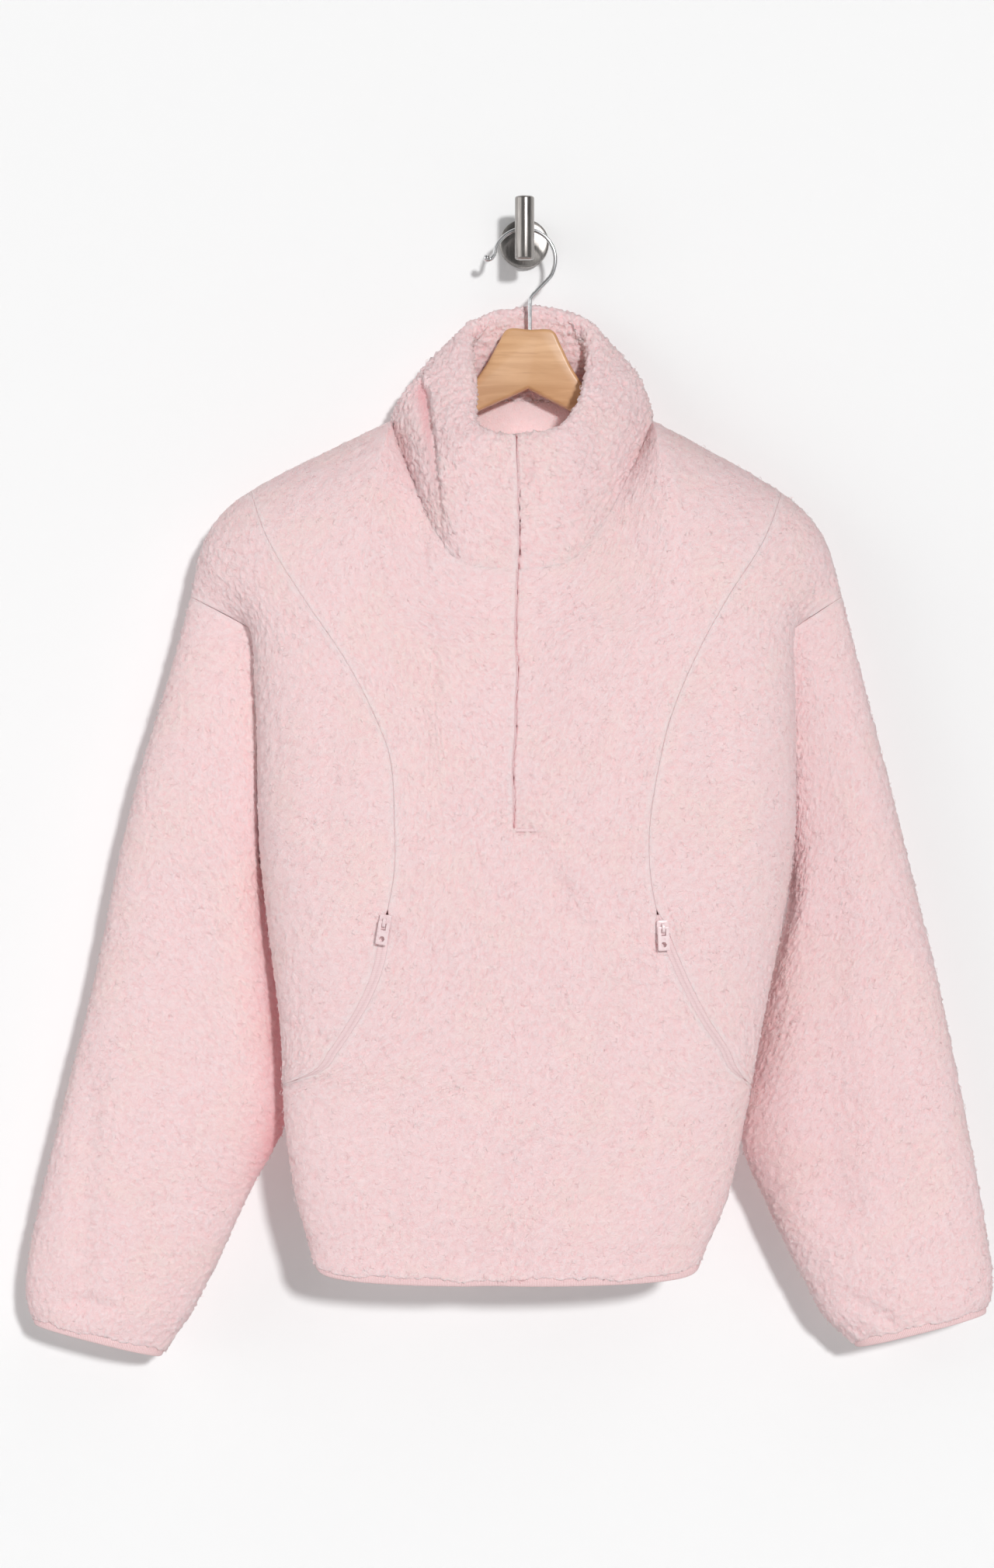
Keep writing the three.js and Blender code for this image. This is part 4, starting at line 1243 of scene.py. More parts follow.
@dataclass(frozen=True)
class FleeceFinish:
    """Matted sherpa pile: pale curl tips; painted shade in deeper pink low between the curls, at the seams
    and in folds; painted light on seam banks and inner faces.
    """

    name: str = "sherpa_fleece"
    tip: Colour = (0.92, 0.713, 0.72)
    # colour of the low places between nubs and curls: painted shade in the pile's pits
    between: Colour = (0.90, 0.63, 0.64)
    # painted shade colour, laid where the hollow paint marks the turned-in seams, the zip slit, the
    # collar's fold and the sleeves' inner edges
    root: Colour = (0.80, 0.30, 0.33)
    # painted highlight colour for the pale line along seam banks, also laid as painted light over the inner
    # faces
    bank: Colour = (0.93, 0.77, 0.77)
    warm: Colour = (0.92, 0.715, 0.70)
    curl: float = 0.0026
    fibre: float = 0.0007
    patch: float = 0.045

    def material(self) -> Finish:
        """Builds the material.

        Returns:
            The material.
        """
        shade = Shade(
            self.name,
            Roughness=0.95,
            Specular_IOR_Level=0.15,
            Sheen_Weight=0.15,
            Subsurface_Weight=0.3,
            Subsurface_Radius=(1, 0.45, 0.45),
            Subsurface_Scale=0.005,
            Sheen_Roughness=0.45,
            Sheen_Tint=(1, 0.88, 0.89, 1),
        )
        nodes = shade.nodes
        curls = nodes.noise(shade.place, self.curl, 3, 1.6)
        fibres = nodes.noise(shade.place, self.fibre, 2, 0.6)
        patches = nodes.noise(shade.place, self.patch, 2, 0.4)
        soft = nodes.math("MULTIPLY", curls, 0.6)
        knobs = nodes.math("MULTIPLY", shade.painted("nub"), 0.4)
        height = nodes.math("ADD", soft, knobs)
        # the lower the pile stands here, the more of the between colour it gets: painted shade in the pits
        tips = nodes.between(height, 0.25, 0.62)
        tint = nodes.blend(nodes.between(patches, 0.42, 0.7), self.tip, self.warm)
        colour = nodes.blend(tips, self.between, tint)
        # painted highlight on the seam banks and painted light on the inner faces
        colour = nodes.blend(nodes.math("MULTIPLY", shade.painted("bank"), 0.35), colour, self.bank)
        # painted shade in seams, the slit, the collar's fold and beside the sleeves' inner edges
        colour = nodes.blend(shade.painted("hollow"), colour, self.root)
        relief = nodes.math("ADD", curls, nodes.math("MULTIPLY", fibres, 0.35))
        return shade.feed(Base_Color=colour, Normal=nodes.bump(relief, 0.0015, 0.55))


@dataclass(frozen=True)
class RibFinish:
    """Smooth knitted elastic or woven tape, with ribs across the strip and painted shade in the grooves
    between them.
    """

    name: str
    ridge: Colour
    shaded_groove: Colour
    pitch: float = 0.0012
    depth: float = 0.0003

    def material(self) -> Finish:
        """Builds the material from the strip's own coordinates, in metres.

        Returns:
            The material.
        """
        shade = Shade(self.name, Roughness=0.7, Specular_IOR_Level=0.3, Sheen_Weight=0.15)
        nodes = shade.nodes
        wave = {"Vector": shade.strip, "Scale": math.tau / self.pitch / 20, "Distortion": 0.6, "Detail": 1}
        ribs = nodes.add("ShaderNodeTexWave", wave, bands_direction="X").outputs["Fac"]
        fluff = nodes.noise(shade.place, 0.0011, 2, 0.4)
        relief = nodes.math("ADD", ribs, nodes.math("MULTIPLY", fluff, 0.8))
        # the lower the relief, the more of the groove colour: painted shade in the grooves
        colour = nodes.blend(nodes.between(relief, 0.35, 1.3), self.shaded_groove, self.ridge)
        return shade.feed(Base_Color=colour, Normal=nodes.bump(relief, self.depth, 0.5))


@dataclass(frozen=True)
class EnamelFinish:
    """Satin enamel over die-cast metal, slightly uneven."""

    name: str = "pink_enamel"
    colour: Colour = (0.87, 0.69, 0.70)
    worn: Colour = (0.80, 0.58, 0.60)

    def material(self) -> Finish:
        """Builds the material.

        Returns:
            The material.
        """
        shade = Shade(self.name, Coat_Weight=0.35, Coat_Roughness=0.2, Specular_IOR_Level=0.5)
        nodes = shade.nodes
        cloud = nodes.noise(shade.place, 0.0022, 3)
        colour = nodes.blend(nodes.between(cloud, 0.45, 0.75), self.colour, self.worn)
        rough = nodes.math("ADD", nodes.math("MULTIPLY", cloud, 0.2), 0.25)
        return shade.feed(Base_Color=colour, Roughness=rough, Normal=nodes.bump(cloud, 0.0001, 0.3))


@dataclass(frozen=True)
class WoodFinish:
    """Lacquered beech with grain along the arms and fine flecks."""

    name: str = "lacquered_beech"
    pale: Colour = (0.74, 0.44, 0.235)
    dark: Colour = (0.58, 0.31, 0.145)
    fleck: Colour = (0.42, 0.20, 0.085)

    def material(self) -> Finish:
        """Builds the material.

        Returns:
            The material.
        """
        shade = Shade(self.name, Coat_Weight=0.25, Coat_Roughness=0.25, Specular_IOR_Level=0.4)
        nodes = shade.nodes
        along = shade.stretched((0.12, 1, 1), shade.place)
        rings = nodes.noise(along, 0.011, 4, 1.2)
        fine = nodes.noise(shade.stretched((0.05, 1, 1), shade.place), 0.0014, 3, 0.2)
        colour = nodes.blend(nodes.between(rings, 0.3, 0.75), self.dark, self.pale)
        flecks = nodes.math("MULTIPLY", nodes.between(fine, 0.6, 0.8), 0.45)
        colour = nodes.blend(flecks, colour, self.fleck)
        rough = nodes.math("ADD", nodes.math("MULTIPLY", fine, 0.2), 0.3)
        return shade.feed(Base_Color=colour, Roughness=rough, Normal=nodes.bump(fine, 0.0002, 0.25))


@dataclass(frozen=True)
class MetalFinish:
    """Bare metal, brushed along one axis or polished."""

    name: str
    colour: Colour
    shaded: Colour
    rough: float
    brush: Triple

    def material(self) -> Finish:
        """Builds the material.

        Returns:
            The material.
        """
        shade = Shade(self.name, Metallic=1.0)
        nodes = shade.nodes
        lines = nodes.noise(shade.stretched(self.brush, shade.place), 0.0009, 3)
        smudge = nodes.noise(shade.place, 0.012, 2)
        colour = nodes.blend(nodes.between(lines, 0.3, 0.7), self.shaded, self.colour)
        rough = nodes.math("ADD", nodes.math("MULTIPLY", smudge, 0.16), self.rough)
        return shade.feed(Base_Color=colour, Roughness=rough, Normal=nodes.bump(lines, 0.0001, 0.2))


class Growth:
    """A Geometry Nodes tree with named inputs, run on an object and turned into a plain mesh."""

    def __init__(self, name: str, inputs: dict[str, str]) -> None:
        """Makes the tree.

        Args:
            name: The tree's name.
            inputs: Input names to their socket types.
        """
        self.tree = bpy.data.node_groups.new(name, "GeometryNodeTree")
        self.tree.interface.new_socket("Geometry", in_out="INPUT", socket_type="NodeSocketGeometry")
        for key, kind in inputs.items():
            self.tree.interface.new_socket(key, in_out="INPUT", socket_type=kind)
        self.tree.interface.new_socket("Geometry", in_out="OUTPUT", socket_type="NodeSocketGeometry")
        self.nodes = Nodes(self.tree)
        self.given = self.nodes.add("NodeGroupInput").outputs
        self.build()

    def build(self) -> None:
        """Adds the tree's nodes."""
        raise NotImplementedError

    def end(self, geometry: Socket) -> None:
        """Closes the tree: realizes, smooths, sets the material.

        Args:
            geometry: What the tree has grown.
        """
        plain = self.nodes.add("GeometryNodeRealizeInstances", {0: geometry}).outputs[0]
        smooth = self.nodes.add("GeometryNodeSetShadeSmooth", {0: plain}).outputs[0]
        done = self.nodes.add("GeometryNodeSetMaterial", {0: smooth, "Material": self.given["Material"]})
        self.nodes.add("NodeGroupOutput", {0: done.outputs[0]})

    def named(self, name: str, kind: str = "FLOAT") -> Socket:
        """A number or vector painted on the mesh."""
        return self.nodes.add("GeometryNodeInputNamedAttribute", {"Name": name}, data_type=kind).outputs[0]

    def run(self, obj: Piece, **values) -> Piece:
        """Runs the tree on an object and keeps the plain result.

        Args:
            obj: The object that carries the starting mesh.
            values: Values of the named inputs.

        Returns:
            The same object, with the grown mesh.
        """
        modifier = obj.modifiers.new(self.tree.name, "NODES")
        modifier.node_group = self.tree
        for item in self.tree.interface.items_tree:
            if item.in_out == "INPUT" and item.name in values:
                modifier[item.identifier] = values[item.name]
        graph = bpy.context.evaluated_depsgraph_get()
        graph.update()
        mesh = bpy.data.meshes.new_from_object(
            obj.evaluated_get(graph), preserve_all_data_layers=True, depsgraph=graph
        )
        obj.modifiers.clear()
        obj.data = mesh
        mesh.name = obj.name
        return obj


class PileGrowth(Growth):
    """Raises matted nubs on the fleece and paints how high each one stands."""

    def __init__(self) -> None:
        """Makes the tree."""
        sizes = {"Height": "NodeSocketFloat", "Nub": "NodeSocketFloat", "Material": "NodeSocketMaterial"}
        super().__init__("fleece_pile", sizes)

    def build(self) -> None:
        """Adds warped cells and swirled ridges, and moves the points out by them."""
        nodes = self.nodes
        place = nodes.add("GeometryNodeInputPosition").outputs[0]
        scale = nodes.math("DIVIDE", 1.0, self.given["Nub"])
        cloud = {"Vector": place, "Scale": scale, "Detail": 1.0}
        warp = nodes.add("ShaderNodeTexNoise", cloud).outputs["Color"]
        push = nodes.add("ShaderNodeVectorMath", {0: warp, "Scale": 0.004}, operation="SCALE").outputs[0]
        moved = nodes.add("ShaderNodeVectorMath", {0: place, 1: push}, operation="ADD").outputs[0]
        cells = nodes.add("ShaderNodeTexVoronoi", {"Vector": moved, "Scale": scale}, feature="SMOOTH_F1")
        dome = nodes.math("SUBTRACT", 1.0, cells.outputs["Distance"])
        wider = nodes.math("MULTIPLY", scale, 0.8)
        swirl = {"Vector": place, "Scale": wider, "Detail": 2.0, "Distortion": 2.2}
        ridges = nodes.add("ShaderNodeTexNoise", swirl).outputs["Fac"]
        nub = nodes.math("ADD", nodes.math("MULTIPLY", dome, 0.55), nodes.math("MULTIPLY", ridges, 0.6))
        nub = nodes.add("ShaderNodeMapRange", {0: nub, 1: 0.35, 2: 0.95}).outputs[0]
        stored = nodes.add(
            "GeometryNodeStoreNamedAttribute",
            {0: self.given["Geometry"], "Name": "nub", "Value": nub},
            data_type="FLOAT",
            domain="POINT",
        ).outputs[0]
        lift = nodes.math("MULTIPLY", nodes.math("SUBTRACT", nub, 0.5), self.given["Height"])
        lift = nodes.math("MULTIPLY", lift, self.named("pile"))
        normal = nodes.add("GeometryNodeInputNormal").outputs[0]
        offset = nodes.add("ShaderNodeVectorMath", {0: normal, "Scale": lift}, operation="SCALE").outputs[0]
        raised = nodes.add("GeometryNodeSetPosition", {0: stored, "Offset": offset}).outputs[0]
        self.end(raised)


class CurlGrowth(Growth):
    """Scatters small loose curls over the fleece."""

    def __init__(self) -> None:
        """Makes the tree."""
        sizes = {
            "Density": "NodeSocketFloat",
            "Radius": "NodeSocketFloat",
            "Seed": "NodeSocketInt",
            "Material": "NodeSocketMaterial",
        }
        super().__init__("fleece_curls", sizes)

    def build(self) -> None:
        """Adds arcs of narrow ribbon on scattered points, each turned its own way."""
        nodes, seed = self.nodes, self.given["Seed"]
        full = nodes.add("FunctionNodeCompare", {0: self.named("pile"), 1: 0.6}, operation="GREATER_THAN")
        spread = nodes.add(
            "GeometryNodeDistributePointsOnFaces",
            {
                0: self.given["Geometry"],
                "Selection": full.outputs[0],
                "Density": self.given["Density"],
                "Seed": seed,
            },
        )
        arc = nodes.add(
            "GeometryNodeCurveArc",
            {"Resolution": 4, "Radius": self.given["Radius"], "Start Angle": 0.0, "Sweep Angle": 4.4},
        )
        width = nodes.math("MULTIPLY", self.given["Radius"], 0.2)
        side = nodes.add("ShaderNodeCombineXYZ", {"X": width}).outputs[0]
        line = nodes.add("GeometryNodeCurvePrimitiveLine", {"End": side}).outputs[0]
        ribbon = nodes.add("GeometryNodeCurveToMesh", {0: arc.outputs[0], "Profile Curve": line}).outputs[0]
        # each curl is painted as standing high, so it takes the pale tip colour and none of the painted pit
        # shade
        pale = nodes.add(
            "GeometryNodeStoreNamedAttribute",
            {0: ribbon, "Name": "nub", "Value": 0.7},
            data_type="FLOAT",
            domain="POINT",
        ).outputs[0]
        spin = nodes.add(
            "FunctionNodeRandomValue",
            {"Min": (-1.3, -1.3, 0.0), "Max": (1.3, 1.3, math.tau), "Seed": seed},
            data_type="FLOAT_VECTOR",
        ).outputs[0]
        turn = nodes.add("FunctionNodeEulerToRotation", {0: spin}).outputs[0]
        turned = nodes.add(
            "FunctionNodeRotateRotation",
            {0: spread.outputs["Rotation"], 1: turn},
            rotation_space="LOCAL",
        ).outputs[0]
        sizes = {2: 0.6, 3: 1.3, "Seed": seed}
        size = nodes.add("FunctionNodeRandomValue", sizes, data_type="FLOAT").outputs[1]
        scattered = nodes.add(
            "GeometryNodeInstanceOnPoints",
            {"Points": spread.outputs["Points"], "Instance": pale, "Rotation": turned, "Scale": size},
        ).outputs[0]
        self.end(scattered)


class RowGrowth(Growth):
    """Sets small rounded pieces, such as zip teeth or stitches, at a pitch along a line."""

    def __init__(self) -> None:
        """Makes the tree."""
        sizes = {
            "Pitch": "NodeSocketFloat",
            "Size": "NodeSocketVector",
            "Sway": "NodeSocketFloat",
            "Material": "NodeSocketMaterial",
        }
        super().__init__("row_along_line", sizes)

    def build(self) -> None:
        """Adds one rounded piece at each pitch, turned along the line and swayed to each side in turn."""
        nodes = self.nodes
        curve = nodes.add("GeometryNodeMeshToCurve", {0: self.given["Geometry"]}).outputs[0]
        pitch = {0: curve, "Length": self.given["Pitch"]}
        even = nodes.add("GeometryNodeResampleCurve", pitch, mode="LENGTH")
        facing = self.named("facing", "FLOAT_VECTOR")
        tangent = nodes.add("GeometryNodeInputTangent").outputs[0]
        sides = {0: facing, 1: tangent}
        across = nodes.add("ShaderNodeVectorMath", sides, operation="CROSS_PRODUCT").outputs[0]
        index = nodes.add("GeometryNodeInputIndex").outputs[0]
        odd = nodes.math("MODULO", index, 2.0)
        sway = nodes.math("MULTIPLY", nodes.math("SUBTRACT", odd, 0.5), self.given["Sway"])
        shift = nodes.add("ShaderNodeVectorMath", {0: across, "Scale": sway}, operation="SCALE").outputs[0]
        upright = nodes.add("FunctionNodeAlignRotationToVector", {"Vector": facing}, axis="Z").outputs[0]
        turned = nodes.add(
            "FunctionNodeAlignRotationToVector",
            {"Rotation": upright, "Vector": tangent},
            axis="X",
            pivot_axis="Z",
        ).outputs[0]
        bead = nodes.add("GeometryNodeMeshUVSphere", {"Segments": 8, "Rings": 5, "Radius": 0.5}).outputs[0]
        placed = nodes.add(
            "GeometryNodeInstanceOnPoints",
            {"Points": even.outputs[0], "Instance": bead, "Rotation": turned, "Scale": self.given["Size"]},
        ).outputs[0]
        moved = nodes.add(
            "GeometryNodeTranslateInstances", {0: placed, "Translation": shift, "Local Space": False}
        ).outputs[0]
        self.end(moved)


def new_piece(name: str, mesh: Mesh, material: Finish | None = None) -> Piece:
    """Puts a mesh in the scene as a piece of its own.

    Args:
        name: The piece's name.
        mesh: Its mesh, in the shared frame.
        material: Its finish, if it has one yet.

    Returns:
        The piece.
    """
    obj = bpy.data.objects.new(name, mesh)
    bpy.context.scene.collection.objects.link(obj)
    if material is not None:
        mesh.materials.append(material)
    mesh.polygons.foreach_set("use_smooth", np.ones(len(mesh.polygons), bool))
    return obj


def settle(obj: Piece, node: str | None = None, body: str = GARMENT) -> None:
    """Hangs a piece on its body and hides the node it takes the place of.

    Args:
        obj: The piece.
        node: The node it takes the place of, if any.
        body: The body it rides on.
    """
    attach(obj, body)
    if node is not None:
        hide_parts(node)
    log.info("%s rides on %s", obj.name, body)


def cloth_area(points: Array, keep: Array | None = None) -> float:
    """Area of a grid's cells, in square metres.

    Args:
        points: Rows and columns of points, in millimetres.
        keep: Which coarse cells count, if not all.

    Returns:
        The area.
    """
    across = points[:-1, 1:] - points[:-1, :-1]
    upward = points[1:, :-1] - points[:-1, :-1]
    cells = np.linalg.norm(np.cross(across, upward), axis=-1)
    if keep is not None:
        cells = cells * np.repeat(np.repeat(keep, FINE, axis=0), FINE, axis=1)
    return float(cells.sum()) * MM**2


def tube_mesh(name: str, rings: Array, closed: bool, caps: bool = True) -> Mesh:
    """Skins a row of closed sections.

    Args:
        name: Name of the mesh.
        rings: Sections along the length by points round each, in millimetres.
        closed: Whether the last section joins the first.
        caps: Whether the two ends of an open tube are filled.

    Returns:
        The mesh, with coordinates along and round it in metres.
    """
    count, around = rings.shape[:2]
    loop = np.concatenate([rings, rings[:1]]) if closed else rings
    middle = loop.mean(axis=1)
    along = running(middle, 0) * MM
    girth = running(np.concatenate([rings[:1], rings[:1, :1]], axis=1), 1)[0] * MM
    faces, places = [], []
    for i in range(count if closed else count - 1):
        for j in range(around):
            corners = ((i, j), (i + 1, j), (i + 1, j + 1), (i, j + 1))
            faces.append([(r % count) * around + c % around for r, c in corners])
            places.extend((along[r], girth[c]) for r, c in corners)
    if caps and not closed:
        for ring, order in ((0, range(around)), (count - 1, range(around - 1, -1, -1))):
            faces.append([ring * around + c for c in order])
            places.extend((along[ring], girth[c]) for c in order)
    centre = rings[0].mean(axis=0)
    out = np.cross(rings[1, 0] - rings[0, 0], rings[0, 1] - rings[0, 0])
    if float(out @ (rings[0, 0] - centre)) < 0:
        faces = [face[::-1] for face in faces]
        ends = np.cumsum([len(face) for face in faces])
        places = [spot for end, face in zip(ends, faces) for spot in places[end - len(face):end][::-1]]
    mesh = bpy.data.meshes.new(name)
    mesh.from_pydata((rings.reshape(-1, 3) * MM).tolist(), [], faces)
    layer = mesh.uv_layers.new(name="strip")
    layer.data.foreach_set("uv", np.array(places, np.float32).ravel())
    return mesh


def rounded_section(width: float, height: float, power: float, count: int) -> Array:
    """A rounded oblong round the origin.

    Args:
        width: Its whole width.
        height: Its whole height.
        power: How square it is, from 2 for an oval.
        count: Points round it.

    Returns:
        Points in a plane, the width first.
    """
    angle = np.linspace(0, math.tau, count, endpoint=False)
    bend = 2 / power
    across = np.sign(np.cos(angle)) * np.abs(np.cos(angle)) ** bend
    upward = np.sign(np.sin(angle)) * np.abs(np.sin(angle)) ** bend
    return np.stack([across * width / 2, upward * height / 2], axis=-1)


def swept(line: Array, across: Array, out: Array, section: Array) -> Array:
    """Sets a flat section at every point of a line.

    Args:
        line: Points of the line.
        across: Direction of the section's width at each point.
        out: Direction of the section's height at each point.
        section: The section's points.

    Returns:
        Sections along the line.
    """
    wide = section[None, :, 0, None] * across[:, None, :]
    high = section[None, :, 1, None] * out[:, None, :]
    return line[:, None, :] + wide + high


def line_mesh(name: str, line: Array, facing: Array) -> Mesh:
    """A plain line of edges that carries the direction it faces.

    Args:
        name: Name of the mesh.
        line: Its points, in millimetres.
        facing: Direction that leaves the cloth at each point.

    Returns:
        The mesh.
    """
    mesh = bpy.data.meshes.new(name)
    mesh.from_pydata((line * MM).tolist(), [(i, i + 1) for i in range(len(line) - 1)], [])
    layer = mesh.attributes.new("facing", "FLOAT_VECTOR", "POINT")
    layer.data.foreach_set("vector", np.asarray(facing, np.float32).ravel())
    return mesh


def resampled(line: Array, count: int, closed: bool = False) -> Array:
    """Points spread evenly along a line.

    Args:
        line: The line's points.
        count: How many points to make.
        closed: Whether the line is a ring.

    Returns:
        The points.
    """
    whole = np.concatenate([line, line[:1]]) if closed else line
    length = running(whole, 0)
    at = np.linspace(0, length[-1], count, endpoint=not closed)
    return np.stack([np.interp(at, length, whole[:, k]) for k in range(whole.shape[1])], axis=-1)


def curved(points: Array, steps: int) -> Array:
    """A smooth curve through points.

    Args:
        points: The points to pass through.
        steps: Steps between each two of them.

    Returns:
        Points of the curve.
    """
    ends = np.concatenate([2 * points[:1] - points[1:2], points, 2 * points[-1:] - points[-2:-1]])
    share = np.linspace(0, 1, steps, endpoint=False)[:, None]
    parts = []
    for a, b, c, d in zip(ends, ends[1:], ends[2:], ends[3:]):
        bend = 2 * a - 5 * b + 4 * c - d
        twist = -a + 3 * b - 3 * c + d
        parts.append((2 * b + (c - a) * share + bend * share**2 + twist * share**3) / 2)
    return np.concatenate([*parts, points[-1:]])


@dataclass(frozen=True)
class Cut:
    """The flat cut of what shows of one cloth piece, in metres."""

    width: float
    length: float
    hold: Hold
    rests_on: tuple[str, ...] = ()


@dataclass
class FleeceWork:
    """Turns grids into fleece pieces: closed shells with raised nubs and loose curls."""

    finish: FleeceFinish = field(default_factory=FleeceFinish)
    cut: FleeceCut = field(default_factory=FleeceCut)
    height: float = 0.0029
    nub: float = 0.0031
    density: float = 30000
    radius: float = 0.0015

    def __post_init__(self) -> None:
        """Builds the material and the trees once."""
        self.material = self.finish.material()
        self.pile = PileGrowth()
        self.curls = CurlGrowth()

    def dress(
        self,
        node: str,
        mesh: Mesh,
        cut: Cut,
        area: float,
        trims: tuple[Piece, ...] = (),
        loft: float = 1,
    ) -> Piece:
        """Args:
            node: The node that the piece stands for.
            mesh: The closed shell.
            cut: Its flat cut; not used.
            area: Area of the cloth that shows, in square metres; not used.
            trims: Narrow tapes and teeth that are sewn to it; not used.
            loft: How much fuller than elsewhere its pile stands.

        Returns:
            The fleece piece.
        """
        cloth = new_piece(f"{node}_fleece", mesh)
        self.pile.run(cloth, Height=self.height * loft, Nub=self.nub, Material=self.material)
        settle(cloth, node)
        loose = new_piece(f"{node}_curls", cloth.data.copy())
        self.curls.run(loose, Density=self.density, Radius=self.radius, Seed=SEED, Material=self.material)
        settle(loose)
        log.info("%s: %d faces, %d in curls", node, len(cloth.data.polygons), len(loose.data.polygons))
        return cloth


def overhung(points: Array, down: Array, reach: float, row: int) -> Array:
    """Lets cloth hang over a binding along its first or last row, unevenly as brushed pile does.

    Args:
        points: Rows and columns of points, in millimetres.
        down: Direction towards the binding's open edge.
        reach: How far the cloth hangs over, in millimetres.
        row: 0 for the first row, -1 for the last.

    Returns:
        The moved points.
    """
    up = running(points, 0)
    off = up if row == 0 else up[-1] - up
    along = running(points[row], 0)
    wave = rippled(along, OVERHANG_WAVES, 1)
    amount = reach * wave * (1 - ease(off / OVERHANG_FADE))
    return points + amount[..., None] * down


@dataclass
class ZipLine:
    """The front opening: a narrow wavy slit from the chest up through the collar."""

    body: BodyForm
    collar: CollarForm
    half: float = 0.2
    raised: float = 0.25
    drift: float = 3.5
    wave: float = 1.8
    collar_wave: float = 0.6
    calm_from: float = -270
    calm_length: float = 20
    waves: tuple[Triple, ...] = ((0.5, 19, 0), (0.3, 7.3, 1), (0.2, 3.1, 0))
    skipped_rows: int = 6
    collar_stretch: tuple[float, float] = (0.02, 0.95)
    collar_steps: int = 90

    def wobble(self, z: Array) -> Array:
        """How far the slit strays from the centre line at a level, in millimetres."""
        wave = mix(self.wave, self.collar_wave, ease((z - self.calm_from) / self.calm_length))
        return self.drift + wave * rippled(z, self.waves)

    def body_edge(self, heights: Array, offset: float) -> Array:
        """Share at an offset from the middle of the slit, by height on the body."""
        z = self.body.point(Face.FRONT, np.zeros_like(heights), heights)[..., 2]
        return self.body.zip_edge(heights, self.wobble(z) + offset)

    def collar_place(self, rise: Array, offset: float, side: Side) -> Array:
        """Place on the collar at an offset from the middle of the slit, by rise."""
        z = self.collar.spine(np.full_like(rise, -1.0), np.zeros_like(rise), rise)[..., 2]
        return self.collar.front_edge(side, side.value * (self.wobble(z) + offset))

    def track(self, offset: float, sunk: float) -> Array:
        """Points along the whole slit, at an offset from its middle and a depth under the cloth.

        Args:
            offset: Sideways, in millimetres.
            sunk: Depth, in millimetres.

        Returns:
            The points from the bottom to the top.
        """
        heights = close_heights(self.body.height(self.body.zip_end), 2)[self.skipped_rows :]
        low = self.body.point(Face.FRONT, self.body_edge(heights, offset), heights)
        rise = np.linspace(*self.collar_stretch, self.collar_steps)
        sign, turn = np.full_like(rise, 1.0), np.zeros_like(rise)
        high = self.collar.spine(sign, turn, rise)
        high[..., 0] += self.wobble(high[..., 2]) + offset
        line = np.concatenate([low, high])
        line[..., 1] += sunk
        return line


